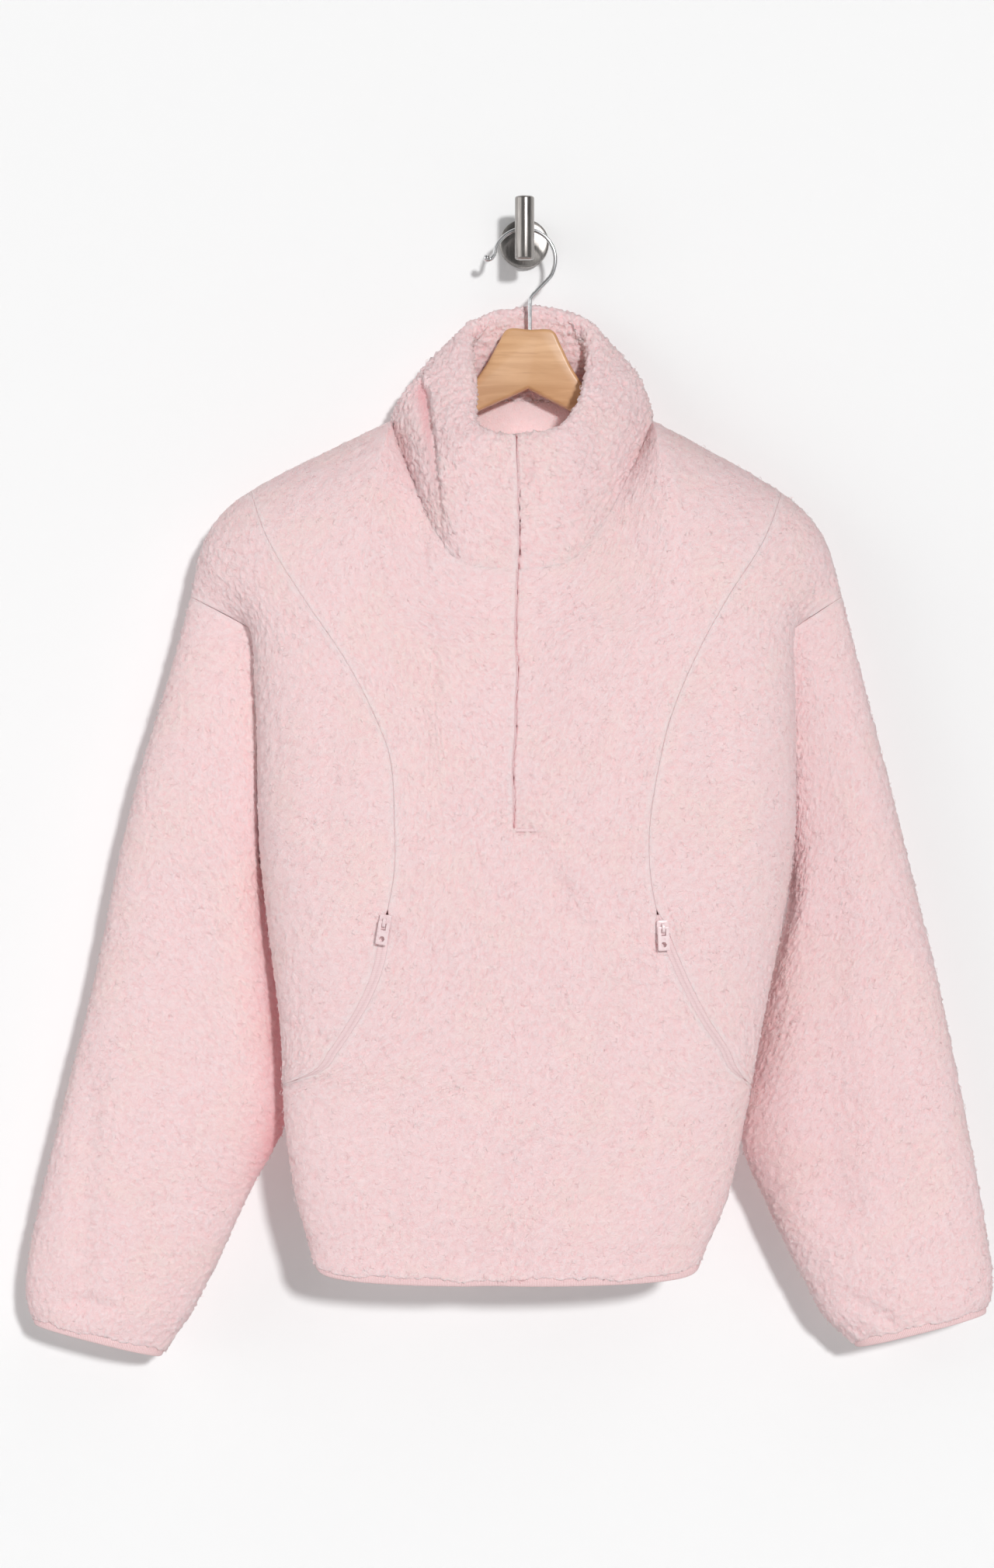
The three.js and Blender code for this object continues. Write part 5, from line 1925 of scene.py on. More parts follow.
@dataclass
class BodyPanels:
    """Front centre panel, two curved side fronts and the back."""

    form: BodyForm
    work: FleeceWork
    slit: ZipLine
    trims: tuple[Piece, ...]
    low_rows: int = 164
    high_rows: int = 132
    half_columns: int = 96
    side_cells: tuple[int, int] = (228, 64)
    back_cells: tuple[int, int] = (284, 200)
    overhang: float = 3.6
    brushed_from: float = 30
    brushed_width: float = 20
    deep_width: float = 8
    deep_fade: float = 6
    centre_cut: Cut = Cut(0.40, 0.60, Hold.HUNG, ("hanger_wood",))
    side_cut: Cut = Cut(0.13, 0.52, Hold.HUNG, ("hanger_wood",))
    back_cut: Cut = Cut(0.48, 0.64, Hold.HUNG, ("hanger_wood",))

    def neck(self, places: Array) -> Array:
        """Which columns run up into the collar."""
        return np.abs(places[-1, :, 0]) < self.form.neck_share - TINY

    def rim(self, grid: ClothGrid, face: Face, places: Array) -> None:
        """Sets the cut-edge directions along the neck, shoulders and side seams of a grid.

        Args:
            grid: The panel's grid.
            face: Front or back.
            places: Shares and heights of its points.
        """
        grid.rim[-1] = self.form.top_outward(face, places[-1, :, 0])
        for side, column in ((Side.LEFT, 0), (Side.RIGHT, -1)):
            at_side = np.abs(places[:, column, 0] - side.value) < TINY
            edge = self.form.edge_outward(face, side, places[:, column, 1])
            grid.rim[:, column] = np.where(at_side[:, None], edge, grid.rim[:, column])

    def front_centre(self) -> None:
        """Builds the front centre panel, open along the zip's slit."""
        form, blocks = self.form, []
        chest = form.height(form.zip_end)
        for start, end, rows in ((0, chest, self.low_rows), (chest, 2, self.high_rows)):
            heights = close_heights(start, end)
            edges = [form.pocket_edge(side, heights, -1) for side in Side]
            lips = [self.slit.body_edge(heights, offset) for offset in (-self.slit.half, self.slit.half)]
            west = woven(form, Face.FRONT, heights, edges[0], lips[0], (rows, self.half_columns))
            east = woven(form, Face.FRONT, heights, lips[1], edges[1], (rows, self.half_columns))
            share = np.linspace(0, 1, FINE + 1)[None, 1:-1, None]
            blocks.append(np.concatenate([west, mix(west[:, -1:], east[:, :1], share), east], axis=1))
        places = np.concatenate([blocks[0][:-1], blocks[1]])
        points = eased(form.point(Face.FRONT, places[..., 0], places[..., 1]))
        points = overhung(points, DOWN, self.overhang, 0)
        grid = ClothGrid.over(points, np.array([0.0, -1.0, 0.3]), plain=self.neck(places))
        self.rim(grid, Face.FRONT, places)
        self.open_slit(grid)
        area = cloth_area(points, grid.keep)
        mesh = self.work.cut.mesh("front_centre_fleece", grid)
        self.work.dress("front_centre", mesh, self.centre_cut, area, self.trims)

    def open_slit(self, grid: ClothGrid) -> None:
        """Opens the slit above the zip's end and turns the cloth in along it.

        Args:
            grid: The front centre's grid.
        """
        first, last = self.half_columns, self.half_columns + FINE
        along, up = running(grid.points, 1), running(grid.points, 0)
        high = slice(self.low_rows, None)
        grid.border[high, : first + 1] = np.minimum(
            grid.border[high, : first + 1], along[high, first : first + 1] - along[high, : first + 1]
        )
        grid.border[high, last:] = np.minimum(
            grid.border[high, last:], along[high, last:] - along[high, last : last + 1]
        )
        low = (slice(None, self.low_rows + 1), slice(first, last + 1))
        grid.border[low] = np.minimum(grid.border[low], (up[self.low_rows] - up)[low])
        centre = (along[:, first] + along[:, last])[:, None] / 2
        lower = FAR * (up < self.brushed_from) + FAR * (along > centre)
        beside = np.where(grid.border < self.brushed_width, grid.border, FAR)
        grid.seam = np.minimum(grid.seam, beside + lower)
        over = along < centre
        past = ease((np.abs(along - centre) - self.deep_width) / self.deep_fade)
        # deep also sets how much painted shade the slit's edges get
        grid.deep = (1 - past) * np.where(over, self.slit.raised, 1)
        rows, columns = ((n - 1) // FINE for n in grid.points.shape[:2])
        grid.keep = np.ones((rows, columns), bool)
        grid.keep[self.low_rows // FINE :, first // FINE : last // FINE] = False

    def side_front(self, side: Side) -> None:
        """Builds one side front, between the curved seam and the side seam and armhole.

        Args:
            side: Which one.
        """
        form = self.form
        heights = close_heights(form.height(form.pocket_end + form.pinch), 2)
        seam = form.pocket_edge(side, heights, 1)
        edge = np.full_like(heights, side.value)
        low, high = (edge, seam) if side is Side.LEFT else (seam, edge)
        places = woven(form, Face.FRONT, heights, low, high, self.side_cells)
        points = eased(form.point(Face.FRONT, places[..., 0], places[..., 1]))
        grid = ClothGrid.over(points, np.array([0.4 * side.value, -1.0, 0.3]))
        self.rim(grid, Face.FRONT, places)
        node = f"side_front_{side.word}"
        mesh = self.work.cut.mesh(f"{node}_fleece", grid)
        self.work.dress(node, mesh, self.side_cut, cloth_area(points))

    def back(self) -> None:
        """Builds the back in one piece."""
        heights = close_heights(0, 2)
        one = np.ones_like(heights)
        places = woven(self.form, Face.BACK, heights, -one, one, self.back_cells)
        points = eased(self.form.point(Face.BACK, places[..., 0], places[..., 1]))
        points = overhung(points, DOWN, self.overhang, 0)
        grid = ClothGrid.over(points, np.array([0.0, 1.0, 0.3]), plain=self.neck(places))
        self.rim(grid, Face.BACK, places)
        mesh = self.work.cut.mesh("back_fleece", grid)
        self.work.dress("back", mesh, self.back_cut, cloth_area(points))

    def build(self) -> None:
        """Builds the four panels."""
        self.front_centre()
        for side in Side:
            self.side_front(side)
        self.back()


@dataclass
class Binding:
    """Knitted elastic bound over a raw edge."""

    material: Finish
    thread: Finish
    stitches: RowGrowth
    height: float = 8
    thickness: float = 4.4
    tucked: float = 1.4
    inset: float = 1.0
    around: int = 18
    squareness: float = 2.6
    stitch_level: float = 0.55
    stitch_lift: float = 0.1
    stitch: Triple = (0.0021, 0.0006, 0.0005)
    stitch_pitch: float = 0.0031
    flat_width: float = 0.0135

    def build(self, node: str, ring: Array, out: Array, down: Array) -> None:
        """Builds one binding and its row of stitches.

        Args:
            node: The node that it stands for.
            ring: Points of the edge it is bound over.
            out: Direction that leaves the cloth at each point.
            down: Direction from the edge to the binding's open side.
        """
        whole = self.height + self.tucked
        section = rounded_section(self.thickness, whole, self.squareness, self.around)
        middle = ring + down * (whole / 2 - self.tucked) - out * (self.thickness / 2 + self.inset)
        mesh = tube_mesh(f"{node}_knit", swept(middle, out, -down, section), closed=True)
        band = new_piece(f"{node}_knit", mesh, self.material)
        settle(band, node)
        edge = ring + down * (self.height * self.stitch_level) - out * (self.inset - self.stitch_lift)
        line = np.concatenate([edge, edge[:1]])
        facing = np.concatenate([out, out[:1]])
        sewn = new_piece(f"{node}_stitches", line_mesh(f"{node}_stitches", line, facing))
        pitch = self.stitch_pitch
        self.stitches.run(sewn, Pitch=pitch, Size=self.stitch, Sway=0.0, Material=self.thread)
        settle(sewn)


@dataclass
class Sleeve:
    """One sleeve with its cuff binding."""

    form: SleeveForm
    work: FleeceWork
    binding: Binding
    rows: int = 316
    columns: int = 216
    overhang: float = 3.2
    length_steps: int = 321
    round_steps: int = 481
    cuff_rows: int = 8
    cuff_steps: int = 220
    inner_edge: float = 0.98
    shade_fade: float = 0.2
    cut: Cut = Cut(0.40, 0.55, Hold.HUNG)
    inner_shade: ClassVar[dict[Side, Triple]] = {
        Side.LEFT: (0.16, 0.85, 0.6),
        Side.RIGHT: (0.5, 0.15, 0.7),
    }

    def spread(self) -> tuple[Array, Array]:
        """Places of the grid, spread evenly round and along the sleeve.

        Returns:
            The lengths from 0 to 1 and the shares round.
        """
        t = np.linspace(0, 1, self.length_steps)
        share = np.linspace(0, 2, self.round_steps)
        length = running(self.form.point(t[:, None], share[None, :]), 1)
        steps = np.linspace(0, 1, self.columns, endpoint=False)
        shares = np.stack([np.interp(steps * row[-1], row, share) for row in length])
        length = running(self.form.point(t[:, None], shares), 0)
        lengths, rounds = np.zeros((2, self.rows + 1, self.columns))
        for j in range(self.columns):
            places = spaced(length[-1, j], self.rows)
            lengths[:, j] = np.interp(places, length[:, j], t)
            rounds[:, j] = np.interp(places, length[:, j], shares[:, j])
        return lengths, rounds

    def build(self) -> None:
        """Builds the sleeve and its binding."""
        lengths, rounds = self.spread()
        plain = self.form.point(lengths, rounds)
        middle = plain.mean(axis=1, keepdims=True)
        down = unit(middle[-1] - middle[-1 - self.cuff_rows])
        points = overhung(plain, down, self.overhang, -1)
        grid = ClothGrid.over(points, points - middle, wrap=True, bound=-1)
        grid.rim[0] = self.form.armhole(rounds[0])[1]
        wide, strength, until = self.inner_shade[self.form.side]
        # painted shade on the sleeve's front beside its inner edge, where it turns in behind the body
        dark = strength * np.exp(-(((rounds - self.inner_edge) / wide) ** 2))
        grid.shade = dark * (1 - ease((lengths - until) / self.shade_fade))
        node = f"sleeve_{self.form.side.word}"
        area = cloth_area(np.concatenate([points, points[:, :1]], axis=1))
        mesh = self.work.cut.mesh(f"{node}_fleece", grid)
        self.work.dress(node, mesh, self.cut, area)
        ring = resampled(plain[-1], self.cuff_steps, closed=True)
        out = ring - middle[-1]
        out = unit(out - (out @ down[0])[:, None] * down)
        self.binding.build(f"cuff_binding_{self.form.side.word}", ring, out, down)


@dataclass
class Hem:
    """The binding all the way round the hem."""

    form: BodyForm
    binding: Binding
    share_steps: int = 400
    steps: int = 420

    def build(self) -> None:
        """Builds the binding along the front and back of the hem."""
        share = np.linspace(-1, 1, self.share_steps)
        low = np.zeros_like(share)
        front = self.form.point(Face.FRONT, share, low)
        back = self.form.point(Face.BACK, share[::-1], low)[1:-1]
        ring = resampled(np.concatenate([front, back]), self.steps, closed=True)
        along = unit(np.roll(ring, -1, axis=0) - np.roll(ring, 1, axis=0))
        down = DOWN[None]
        out = unit(np.cross(along, -down))
        out = out if float(np.sum(out * (ring - ring.mean(axis=0)))) > 0 else -out
        self.binding.build("hem_binding", ring, out, down)


@dataclass
class Collar:
    """The stand-up collar, folded over at its top, in one closed piece."""

    form: CollarForm
    work: FleeceWork
    slit: ZipLine
    columns: int = 296
    rows: int = 128
    path_steps: int = 401
    share_steps: int = 721
    even_at: float = 0.25
    dent_front: float = -30
    dent_flat: float = 0.8
    dent_shade: float = 0.5
    loft: float = 1.6
    cut: Cut = Cut(0.105, 0.47, Hold.FOLDED, ("hanger_wood",))

    def grid(self) -> Array:
        """Points of the closed section from the left front edge to the right one.

        Returns:
            Rows round the section by columns along the collar.
        """
        path = np.linspace(0, 1, self.path_steps)
        rise = 1 - np.abs(1 - 2 * path) ** 2
        left = self.slit.collar_place(rise, -self.slit.half, Side.LEFT)
        right = self.slit.collar_place(rise, self.slit.half, Side.RIGHT)
        share = np.linspace(0, 1, self.share_steps)
        row = int(self.even_at * (self.path_steps - 1))
        middle = self.form.point(mix(left[row], right[row], share), np.full_like(share, self.even_at))
        length = running(middle, 0)
        even = np.interp(spaced(length[-1], self.columns), length, share)
        points = self.form.point(mix(left[:, None], right[:, None], even[None, :]), path[:, None])
        length = running(points, 0)
        grid = np.zeros((self.rows + 1, self.columns + 1, 3))
        for j in range(self.columns + 1):
            at = np.linspace(0, length[-1, j], self.rows + 1)
            for axis in range(3):
                grid[:, j, axis] = np.interp(at, length[:, j], points[:, j, axis])
        return grid

    def faces(self, grid: Array) -> list[list[int]]:
        """Faces of the closed section and of its two front ends.

        Args:
            grid: Rows round the section by columns along the collar.

        Returns:
            Lists of point indices, one for each face.
        """
        wide, last = self.columns + 1, self.rows
        faces = []
        for i in range(last):
            for j in range(self.columns):
                faces.append([i * wide + j, (i + 1) * wide + j, (i + 1) * wide + j + 1, i * wide + j + 1])
        for j in range(self.columns):
            faces.append([last * wide + j, j, j + 1, last * wide + j + 1])
        for j, turn in ((0, 1), (self.columns, -1)):
            for i in range(last // 2):
                order = [i, last - i, last - i - 1, i + 1] if i + 1 < last - i - 1 else [i, last - i, i + 1]
                faces.append([k * wide + j for k in order][::turn])
        middle = grid[: last // 2].mean(axis=1, keepdims=True)
        looks = np.cross(np.diff(grid[:2], axis=0)[0], np.gradient(grid[0], axis=0))
        if float(np.sum(looks * (grid[0] - middle[0]))) < 0:
            faces = [face[::-1] for face in faces]
        return faces

    def build(self) -> None:
        """Builds the collar."""
        grid = self.grid()
        along = running(grid, 1)
        border = np.minimum(along, along[:, -1:] - along)
        last = self.rows
        normals = unit(np.cross(np.gradient(grid, axis=0), np.gradient(grid, axis=1)))
        if float(np.sum(normals[last // 4] * (grid[last // 4] - grid[3 * last // 4]))) < 0:
            normals = -normals
        cut = self.work.cut
        over = along < along[:, -1:] / 2
        deep = np.where(over, self.slit.raised, 1)
        brushed = border + FAR * ~over
        formed = grid - normals * cut.turned_in(border, deep)[..., None]
        mesh = bpy.data.meshes.new("collar_fleece")
        mesh.from_pydata((formed.reshape(-1, 3) * MM).tolist(), [], self.faces(grid))
        dent = ease(pressed(COLLAR_CREASES[:1], grid) / COLLAR_CREASES[0].depth)
        dent = dent * (grid[..., 1] < self.dent_front)
        up = running(grid, 0)
        base = np.minimum(up, up[-1] - up) / cut.join_pile
        full = ease(np.minimum(brushed / cut.flat_pile, base)) * (1 - self.dent_flat * dent)
        paint(mesh, "pile", full.ravel())
        # painted shade along the slit's edges and in the collar's deep fold
        hollow = np.maximum(cut.hollow(border, deep), self.dent_shade * dent**2)
        paint(mesh, "hollow", hollow.ravel())
        # painted highlight along the bank beside the collar's overlapping front edge
        paint(mesh, "bank", cut.lit(brushed).ravel())
        area = cloth_area(grid) / 2
        self.work.dress("collar", mesh, self.cut, area, loft=self.loft)


@dataclass
class ZipFittings:
    """The three zips: tapes, coil teeth, bartacks, and the pocket sliders with their pull tabs."""

    body: BodyForm
    slit: ZipLine
    tape: Finish
    coil: Finish
    enamel: Finish
    teeth: RowGrowth
    front_half: float = 0.8
    front_sunk: float = 1.0
    tape_thickness: float = 1.2
    pocket_fill: float = 1.04
    pocket_sunk: float = 0.5
    front_steps: int = 260
    coil_size: Triple = (0.0007, 0.0013, 0.0008)
    coil_pitch: float = 0.0013
    coil_sway: float = 0.0004
    tack_size: Triple = (0.0012, 0.0032, 0.0009)
    tack_pitch: float = 0.0009
    tack_span: tuple[float, float] = (0.006, 0.03)
    tack_steps: int = 12
    tack_below: float = 2.2
    tack_raised: float = 0.4
    pocket_inset: float = 5
    pocket_steps: int = 150
    merge: float = 1e-5
    flat_angle: float = 0.02
    sharp_angle: float = 0.5
    soft_edge: float = 0.00032
    profile: Outline = (
        (-0.5, -0.5), (0.5, -0.5), (0.5, 0.3), (0.46, 0.5), (0.05, 0.5), (0.03, 0.35), (0, 0.1),
        (-0.03, 0.35), (-0.05, 0.5), (-0.46, 0.5), (-0.5, 0.3),
    )
    trims: list[Piece] = field(default_factory=list)

    def strip(self, node: str, left: Array, right: Array, out: Array) -> None:
        """Builds a tape between two lines.

        Args:
            node: The node that it stands for.
            left: Points of its left edge.
            right: Points of its right edge.
            out: Direction that leaves the cloth.
        """
        middle, across = (left + right) / 2, right - left
        section = np.array(self.profile)
        flat = section[None, :, 0, None] * across[:, None, :]
        deep = section[None, :, 1, None] * out[:, None, :] * self.tape_thickness
        name = f"{node}_tape"
        tape = new_piece(name, tube_mesh(name, middle[:, None, :] + flat + deep, closed=False), self.tape)
        settle(tape, node)
        self.trims.append(tape)

    def row(self, name: str, line: Array, out: Array, size: Triple, pitch: float, sway: float) -> None:
        """Sets teeth or stitches along a line.

        Args:
            name: The piece's name.
            line: Points of the line.
            out: Direction that leaves the cloth.
            size: Length, width and height of one, in metres.
            pitch: Distance from one to the next, in metres.
            sway: How far each stands to its own side, in metres.
        """
        sewn = new_piece(name, line_mesh(name, line, out))
        self.teeth.run(sewn, Pitch=pitch, Size=size, Sway=sway, Material=self.coil)
        settle(sewn)
        self.trims.append(sewn)

    def front(self) -> None:
        """Builds the front zip, closed up to the collar's fold, and the bartack under it."""
        sunk = self.front_sunk + self.tape_thickness / 2
        count = self.front_steps
        left, right = (
            resampled(self.slit.track(side * self.front_half, sunk), count) for side in (-1, 1)
        )
        out = np.broadcast_to(np.array([0.0, -1.0, 0.0]), left.shape)
        self.strip("front_zip", left, right, out)
        line = resampled(self.slit.track(0, self.front_sunk), count)
        self.row("front_zip_coil", line, out, self.coil_size, self.coil_pitch, self.coil_sway)
        count = self.tack_steps
        chest = np.full(count, self.body.height(self.body.zip_end - self.tack_below))
        tack = self.body.point(Face.FRONT, np.linspace(*self.tack_span, count), chest)
        tack[:, 1] -= self.tack_raised
        self.row("front_zip_bartack", tack, out[:count], self.tack_size, self.tack_pitch, 0.0)

    def pocket(self, side: Side) -> None:
        """Builds one pocket zip with its slider and pull tab.

        Args:
            side: Which pocket.
        """
        form, node = self.body, f"pocket_zip_{side.word}"
        inset = self.pocket_inset
        levels = np.linspace(form.pocket_end + inset, form.pocket_top - inset, self.pocket_steps)
        heights = form.height(levels)
        shares = [form.pocket_edge(side, heights, k * side.value * self.pocket_fill) for k in (-1, 1)]
        left, right = (form.point(Face.FRONT, share, heights) for share in shares)
        across, upward = right - left, np.gradient((left + right) / 2, axis=0)
        out = unit(np.cross(across, upward))
        out = out if float(out[:, 1].sum()) < 0 else -out
        sunk = out * (self.pocket_sunk + self.tape_thickness / 2)
        self.strip(node, left - sunk, right - sunk, out)
        for part, body in (("slider", GARMENT), ("pull_tab", f"tab_{side.word}")):
            self.metal(f"{part}_{side.word}", body)

    def metal(self, node: str, body: str) -> None:
        """Gives a die-cast piece softened edges and its enamel.

        Args:
            node: The node that it stands for.
            body: The body it rides on.
        """
        form = bmesh.new()
        form.from_mesh(bpy.data.objects[node].data)
        form.transform(bpy.data.objects[node].matrix_world)
        bmesh.ops.remove_doubles(form, verts=form.verts, dist=self.merge)
        bmesh.ops.dissolve_limit(form, angle_limit=self.flat_angle, verts=form.verts, edges=form.edges)
        sharp = [edge for edge in form.edges if edge.calc_face_angle(0) > self.sharp_angle]
        bmesh.ops.bevel(
            form,
            geom=sharp,
            offset=self.soft_edge,
            segments=3,
            profile=0.5,
            affect="EDGES",
            clamp_overlap=True,
        )
        bmesh.ops.triangulate(form, faces=[face for face in form.faces if len(face.verts) > 4])
        mesh = bpy.data.meshes.new(f"{node}_cast")
        form.to_mesh(mesh)
        form.free()
        cast = new_piece(f"{node}_cast", mesh, self.enamel)
        settle(cast, node, body)

    def build(self) -> tuple[Piece, ...]:
        """Builds the three zips.

        Returns:
            What is sewn to the front.
        """
        self.front()
        for side in Side:
            self.pocket(side)
        return tuple(self.trims)


@dataclass
class Hanger:
    """Contoured wooden hanger with its wire hook."""

    wood: Finish
    wire: Finish
    centre: Triple = (4, -30, -66)
    tilt: float = 0.03
    thickness: float = 11
    edge: float = 2.5
    wire_radius: float = 1.5
    bead: float = 2.6
    hook_radius: float = 22.5
    hook_centre: float = -14.7
    hook_sweep: tuple[int, int, int] = (172, -41, -13)
    hook_steps: int = 220
    hook_bends: int = 12
    bead_length: float = 3
    bead_fade: float = 2.5
    wire_around: int = 20
    board_steps: int = 520
    board_bends: int = 8
    edge_steps: int = 6
    over: Outline = (
        (0, -66), (16, -66), (23, -77), (32, -94), (44, -110), (62, -126),
        (86, -140), (106, -148), (147, -168), (184, -188), (190, -199),
    )
    under: Outline = (
        (190, -199), (184, -208), (147, -192), (100, -167), (50, -134), (0, -109),
    )
    tip: Outline = ((-29.5, -12), (-25.5, -14.5))
    neck: Outline = ((9, -37.5), (5, -42), (4, -47), (4, -67))

    def outline(self) -> Array:
        """Points round the board in the front view, from its middle.

        Returns:
            The points, evenly spaced.
        """
        parts = [np.array(part, float) for part in (self.over, self.under)]
        half = np.concatenate([curved(part, self.board_bends)[:-1] for part in parts])
        foot = np.array([self.under[-1]], float)
        mirrored = half[1:][::-1] * (-1, 1)
        ring = np.concatenate([half, foot, mirrored]) - (0, self.centre[2])
        return resampled(ring, self.board_steps, closed=True)

    def board(self) -> None:
        """Builds the board: the outline, rounded over along both faces, with a soft crown."""
        ring = self.outline()
        along = unit(np.roll(ring, -1, axis=0) - np.roll(ring, 1, axis=0))
        inward = np.stack([along[:, 1], -along[:, 0]], axis=-1)
        if float(np.sum(inward * (ring - ring.mean(axis=0)))) > 0:
            inward = -inward
        turn = np.linspace(0, math.pi / 2, self.edge_steps)
        depths = self.thickness / 2 - self.edge * (1 - np.sin(turn))
        insets = self.edge * (1 - np.cos(turn))
        depths = np.concatenate([-depths[::-1], depths])
        insets = np.concatenate([insets[::-1], insets])
        flat = ring[None] + inward[None] * insets[:, None, None]
        lean = math.cos(self.tilt), math.sin(self.tilt)
        x = self.centre[0] + flat[..., 0] * lean[0] + flat[..., 1] * lean[1]
        z = self.centre[2] - flat[..., 0] * lean[1] + flat[..., 1] * lean[0]
        rings = xyz(x, self.centre[1] + depths[:, None], z)
        mesh = tube_mesh("hanger_wood_board", rings, closed=False)
        settle(new_piece("hanger_wood_board", mesh, self.wood), "hanger_wood")

    def hook(self) -> None:
        """Builds the hook: a beaded tip, an arc over the peg's stem and a sweep down into the board."""
        angle = np.radians(np.arange(*self.hook_sweep))
        arc = np.stack([np.cos(angle), np.sin(angle)], axis=-1) * self.hook_radius + (0, self.hook_centre)
        path = curved(np.concatenate([self.tip, arc, self.neck]), self.hook_bends)
        path = resampled(path, self.hook_steps)
        line = xyz(path[:, 0], self.centre[1], path[:, 1])
        along = unit(np.gradient(line, axis=0))
        side = np.broadcast_to(np.array([0.0, 1.0, 0.0]), line.shape)
        out = np.cross(along, side)
        from_tip = running(line, 0)
        past = ease((from_tip - self.bead_length) / self.bead_fade)
        radius = self.wire_radius + (self.bead - self.wire_radius) * (1 - past)
        radius = radius * np.sqrt(np.clip(1 - (1 - np.clip(from_tip / self.bead, 0.02, 1)) ** 2, 0, 1))
        circle = rounded_section(2, 2, 2, self.wire_around)
        centres = line[:, None, :]
        rings = centres + radius[:, None, None] * (swept(line, side, out, circle) - centres)
        mesh = tube_mesh("hanger_hook_wire", rings, closed=False)
        settle(new_piece("hanger_hook_wire", mesh, self.wire), "hanger_hook")

    def build(self) -> None:
        """Builds the hanger."""
        self.board()
        self.hook()


@dataclass
class WallHook:
    """Round rose on the wall, a stem and the upright peg that the hanger hooks over."""

    steel: Finish
    around: int = 72
    rose: Outline = (
        (0.01, 0), (18, 0), (18, -6), (17.7, -6.7), (16.9, -7.1), (15, -7.4), (10, -7.8),
        (5, -7.95), (0.01, -8),
    )
    stem: Outline = ((0.01, -8.2), (6, -8.2), (6, -40), (0.01, -40))
    peg: Outline = (
        (0.01, -16), (5.6, -16), (6.4, -15.7), (6.9, -15), (7, -14.2),
        (7, 28.2), (6.9, 29), (6.4, 29.7), (5.6, 30), (0.01, 30),
    )
    peg_y: float = -40
    sharp_angle: float = 0.6

    def lathe(self, profile: Outline, upright: bool) -> Array:
        """Turns a profile about the stem's axis or about the peg's.

        Args:
            profile: Radius and place along the axis.
            upright: Whether the axis is the peg's.

        Returns:
            Sections along the axis.
        """
        angle = np.linspace(0, math.tau, self.around, endpoint=False)
        radius, place = (np.array(column)[:, None] for column in zip(*profile))
        first, second = radius * np.cos(angle), radius * np.sin(angle)
        if upright:
            return xyz(first, self.peg_y + second, place)
        return xyz(first, place, second)

    def join(self, name: str, node: str, *parts: Array) -> None:
        """Makes one piece of turned parts.

        Args:
            name: The piece's name.
            node: The node that it stands for.
            parts: Sections of each turned part.
        """
        form = bmesh.new()
        for index, rings in enumerate(parts):
            part = tube_mesh(f"{name}_{index}", rings, closed=False)
            form.from_mesh(part)
            bpy.data.meshes.remove(part)
        for edge in form.edges:
            edge.smooth = edge.calc_face_angle(0) < self.sharp_angle
        mesh = bpy.data.meshes.new(name)
        form.to_mesh(mesh)
        form.free()
        settle(new_piece(name, mesh, self.steel), node)

    def build(self) -> None:
        """Builds the rose and the peg."""
        self.join("wall_rose_turned", "wall_rose", self.lathe(self.rose, False))
        self.join("wall_peg_turned", "wall_peg", self.lathe(self.stem, False), self.lathe(self.peg, True))


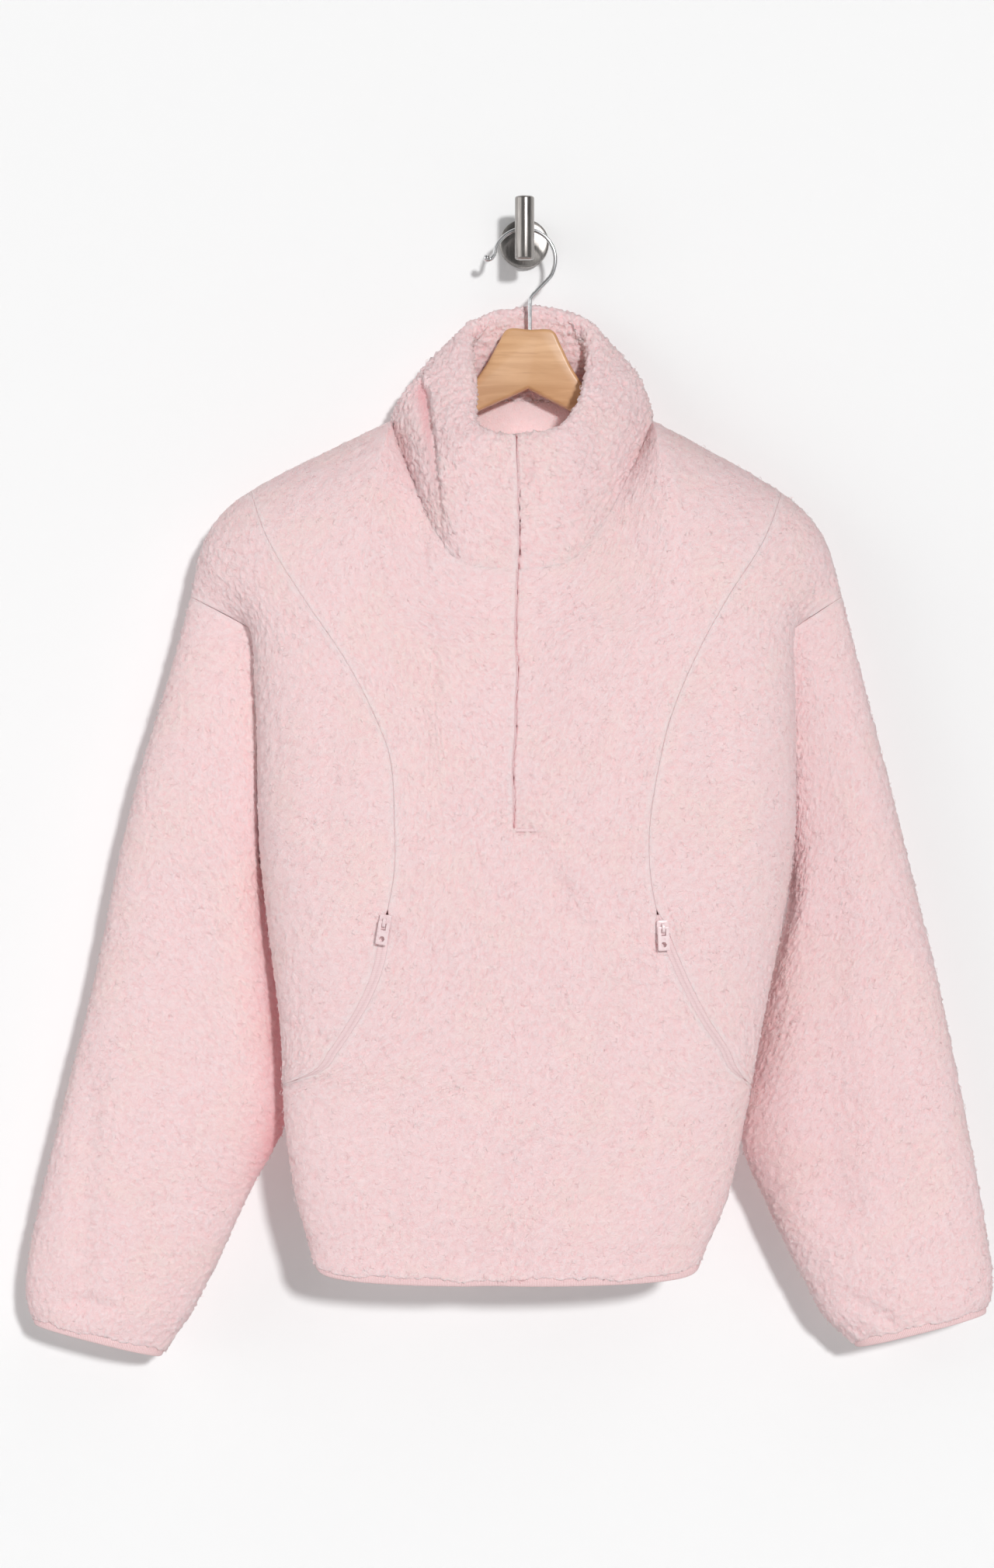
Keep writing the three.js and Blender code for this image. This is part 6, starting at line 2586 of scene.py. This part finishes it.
@dataclass
class Studio:
    """Plain white wall and floor, soft front light from the right, and the camera of the photograph."""

    camera_at: Triple = (-0.020, -3.200, -0.3966)
    lens: float = 99.93
    key: Triple = (-0.30, 1.0, -0.26)
    key_power: float = 1.86
    fill: Triple = (1.0, 0.42, -0.12)
    fill_power: float = 0.42
    rear: Triple = (0.35, -1.0, -0.3)
    rear_power: float = 0.8
    sky: Outline = (
        (0.0, 0.74), (0.16, 0.56), (0.30, 0.28), (0.42, 0.10), (0.48, 0.16),
        (0.57, 0.55), (0.70, 0.65), (0.82, 0.26), (0.90, 0.04), (0.97, 0.35), (1.0, 0.37),
    )
    glow_at: Triple = (0.004, -0.036, -0.150)
    glow_power: float = 0.016
    glow_colour: Colour = (1.0, 0.86, 0.87)
    glow_size: float = 0.02
    wall_y: float = 0.0005
    floor_z: float = -1.6
    white: Colour = (0.915, 0.915, 0.915)

    def lights(self) -> None:
        """Sets the key, fill and rear lights."""
        for name, power, travel, size in (
            ("key", self.key_power, self.key, 5),
            ("fill", self.fill_power, self.fill, 50),
            ("rear", self.rear_power, self.rear, 20),
        ):
            data = bpy.data.lights.new(name, "SUN")
            data.energy = power
            data.angle = math.radians(size)
            lamp = bpy.data.objects.new(name, data)
            lamp.rotation_euler = Vector(travel).to_track_quat("-Z", "Y").to_euler()
            bpy.context.scene.collection.objects.link(lamp)

    def glow(self) -> None:
        """Sets a small lamp that stands for the light coming through the collar's cloth."""
        data = bpy.data.lights.new("through_collar", "POINT")
        data.energy = self.glow_power
        data.color = self.glow_colour
        data.shadow_soft_size = self.glow_size
        lamp = bpy.data.objects.new("through_collar", data)
        lamp.location = self.glow_at
        bpy.context.scene.collection.objects.link(lamp)

    def panels(self) -> None:
        """Sets a sky of pale and dark panels."""
        world = bpy.data.worlds.new("sky")
        world.use_nodes = True
        nodes = Nodes(world.node_tree)
        towards = nodes.add("ShaderNodeTexCoord").outputs["Generated"]
        sideways = nodes.add("ShaderNodeSeparateXYZ", {0: towards}).outputs[0]
        share = nodes.math("ADD", nodes.math("MULTIPLY", sideways, 0.5), 0.5)
        panels = nodes.add("ShaderNodeValToRGB", {0: share})
        stops = panels.color_ramp.elements
        while len(stops) < len(self.sky):
            stops.new(1.0)
        for stop, (place, value) in zip(stops, self.sky):
            stop.position = place
            stop.color = (value, value, value, 1)
        nodes.tree.links.new(panels.outputs[0], nodes.tree.nodes["Background"].inputs["Color"])
        bpy.context.scene.world = world

    def plane(self, name: str, corners: list[Triple], shade: Shade) -> Piece:
        """Adds one flat sheet of the set.

        Args:
            name: The sheet's name.
            corners: Its four corners, in metres.
            shade: Its finish.

        Returns:
            The sheet.
        """
        mesh = bpy.data.meshes.new(name)
        mesh.from_pydata(corners, [], [(0, 1, 2, 3)])
        sheet = new_piece(name, mesh, shade.material)
        return sheet

    def walls(self) -> None:
        """Adds the wall, seen only from the front, and the floor."""
        shade = Shade("white_wall", Roughness=1.0, Specular_IOR_Level=0.0)
        nodes = shade.nodes
        grain = nodes.noise(shade.place, 0.6, 2)
        tint = nodes.blend(grain, self.white, tuple(0.99 * c for c in self.white))
        shade.feed(Base_Color=tint)
        clear = nodes.add("ShaderNodeBsdfTransparent")
        behind = nodes.add("ShaderNodeNewGeometry").outputs["Backfacing"]
        choice = {0: behind, 1: shade.shader.outputs[0], 2: clear.outputs[0]}
        both = nodes.add("ShaderNodeMixShader", choice)
        output = shade.material.node_tree.nodes["Material Output"]
        nodes.tree.links.new(both.outputs[0], output.inputs["Surface"])
        y, z, wide, high = self.wall_y, self.floor_z, 4.0, 2.5
        wall = self.plane("wall", [(-wide, y, z), (wide, y, z), (wide, y, high), (-wide, y, high)], shade)
        wall.visible_shadow = False
        wall.visible_diffuse = False
        pale = Shade("pale_floor", Roughness=1.0, Specular_IOR_Level=0.0)
        grain = pale.nodes.noise(pale.place, 0.4, 2)
        pale.feed(Base_Color=pale.nodes.blend(grain, self.white, tuple(0.98 * c for c in self.white)))
        self.plane("floor", [(-wide, -wide, z), (wide, -wide, z), (wide, wide, z), (-wide, wide, z)], pale)

    def camera(self) -> None:
        """Sets the camera level with the garment's middle, straight on to the wall."""
        data = bpy.data.cameras.new("camera")
        data.lens = self.lens
        data.sensor_width = 36
        data.dof.use_dof = False
        data.clip_end = 50
        camera = bpy.data.objects.new("camera", data)
        camera.location = self.camera_at
        camera.rotation_euler = (math.pi / 2, 0, 0)
        bpy.context.scene.collection.objects.link(camera)
        bpy.context.scene.camera = camera
        bpy.context.scene.view_settings.view_transform = "Standard"

    def build(self) -> None:
        """Builds the set."""
        self.lights()
        self.glow()
        self.panels()
        self.walls()
        self.camera()


def main() -> None:
    """Builds the whole scene."""
    logging.basicConfig(level=logging.INFO)
    body = BodyForm()
    collar = CollarForm(body)
    slit = ZipLine(body, collar)
    work = FleeceWork()
    row = RowGrowth()
    knit = RibFinish("rib_knit", (0.90, 0.68, 0.68), (0.80, 0.52, 0.53)).material()
    tape = RibFinish("zip_tape", (0.90, 0.70, 0.71), (0.84, 0.60, 0.61), 0.0009).material()
    coil = EnamelFinish("zip_coil", (0.88, 0.66, 0.67), (0.82, 0.56, 0.58)).material()
    enamel = EnamelFinish().material()
    binding = Binding(knit, coil, row)
    trims = ZipFittings(body, slit, tape, coil, enamel, row).build()
    BodyPanels(body, work, slit, trims).build()
    for side in Side:
        Sleeve(SleeveForm(side, body, SLEEVE_RINGS[side]), work, binding).build()
    Hem(body, binding).build()
    Collar(collar, work, slit).build()
    chrome = MetalFinish("chromed_wire", (0.72, 0.72, 0.73), (0.60, 0.60, 0.61), 0.08, (1, 1, 1)).material()
    steel = MetalFinish(
        "brushed_steel", (0.43, 0.405, 0.385), (0.30, 0.28, 0.265), 0.14, (1, 1, 0.06)
    ).material()
    Hanger(WoodFinish().material(), chrome).build()
    WallHook(steel).build()
    Studio().build()


if __name__ == "__main__":
    main()
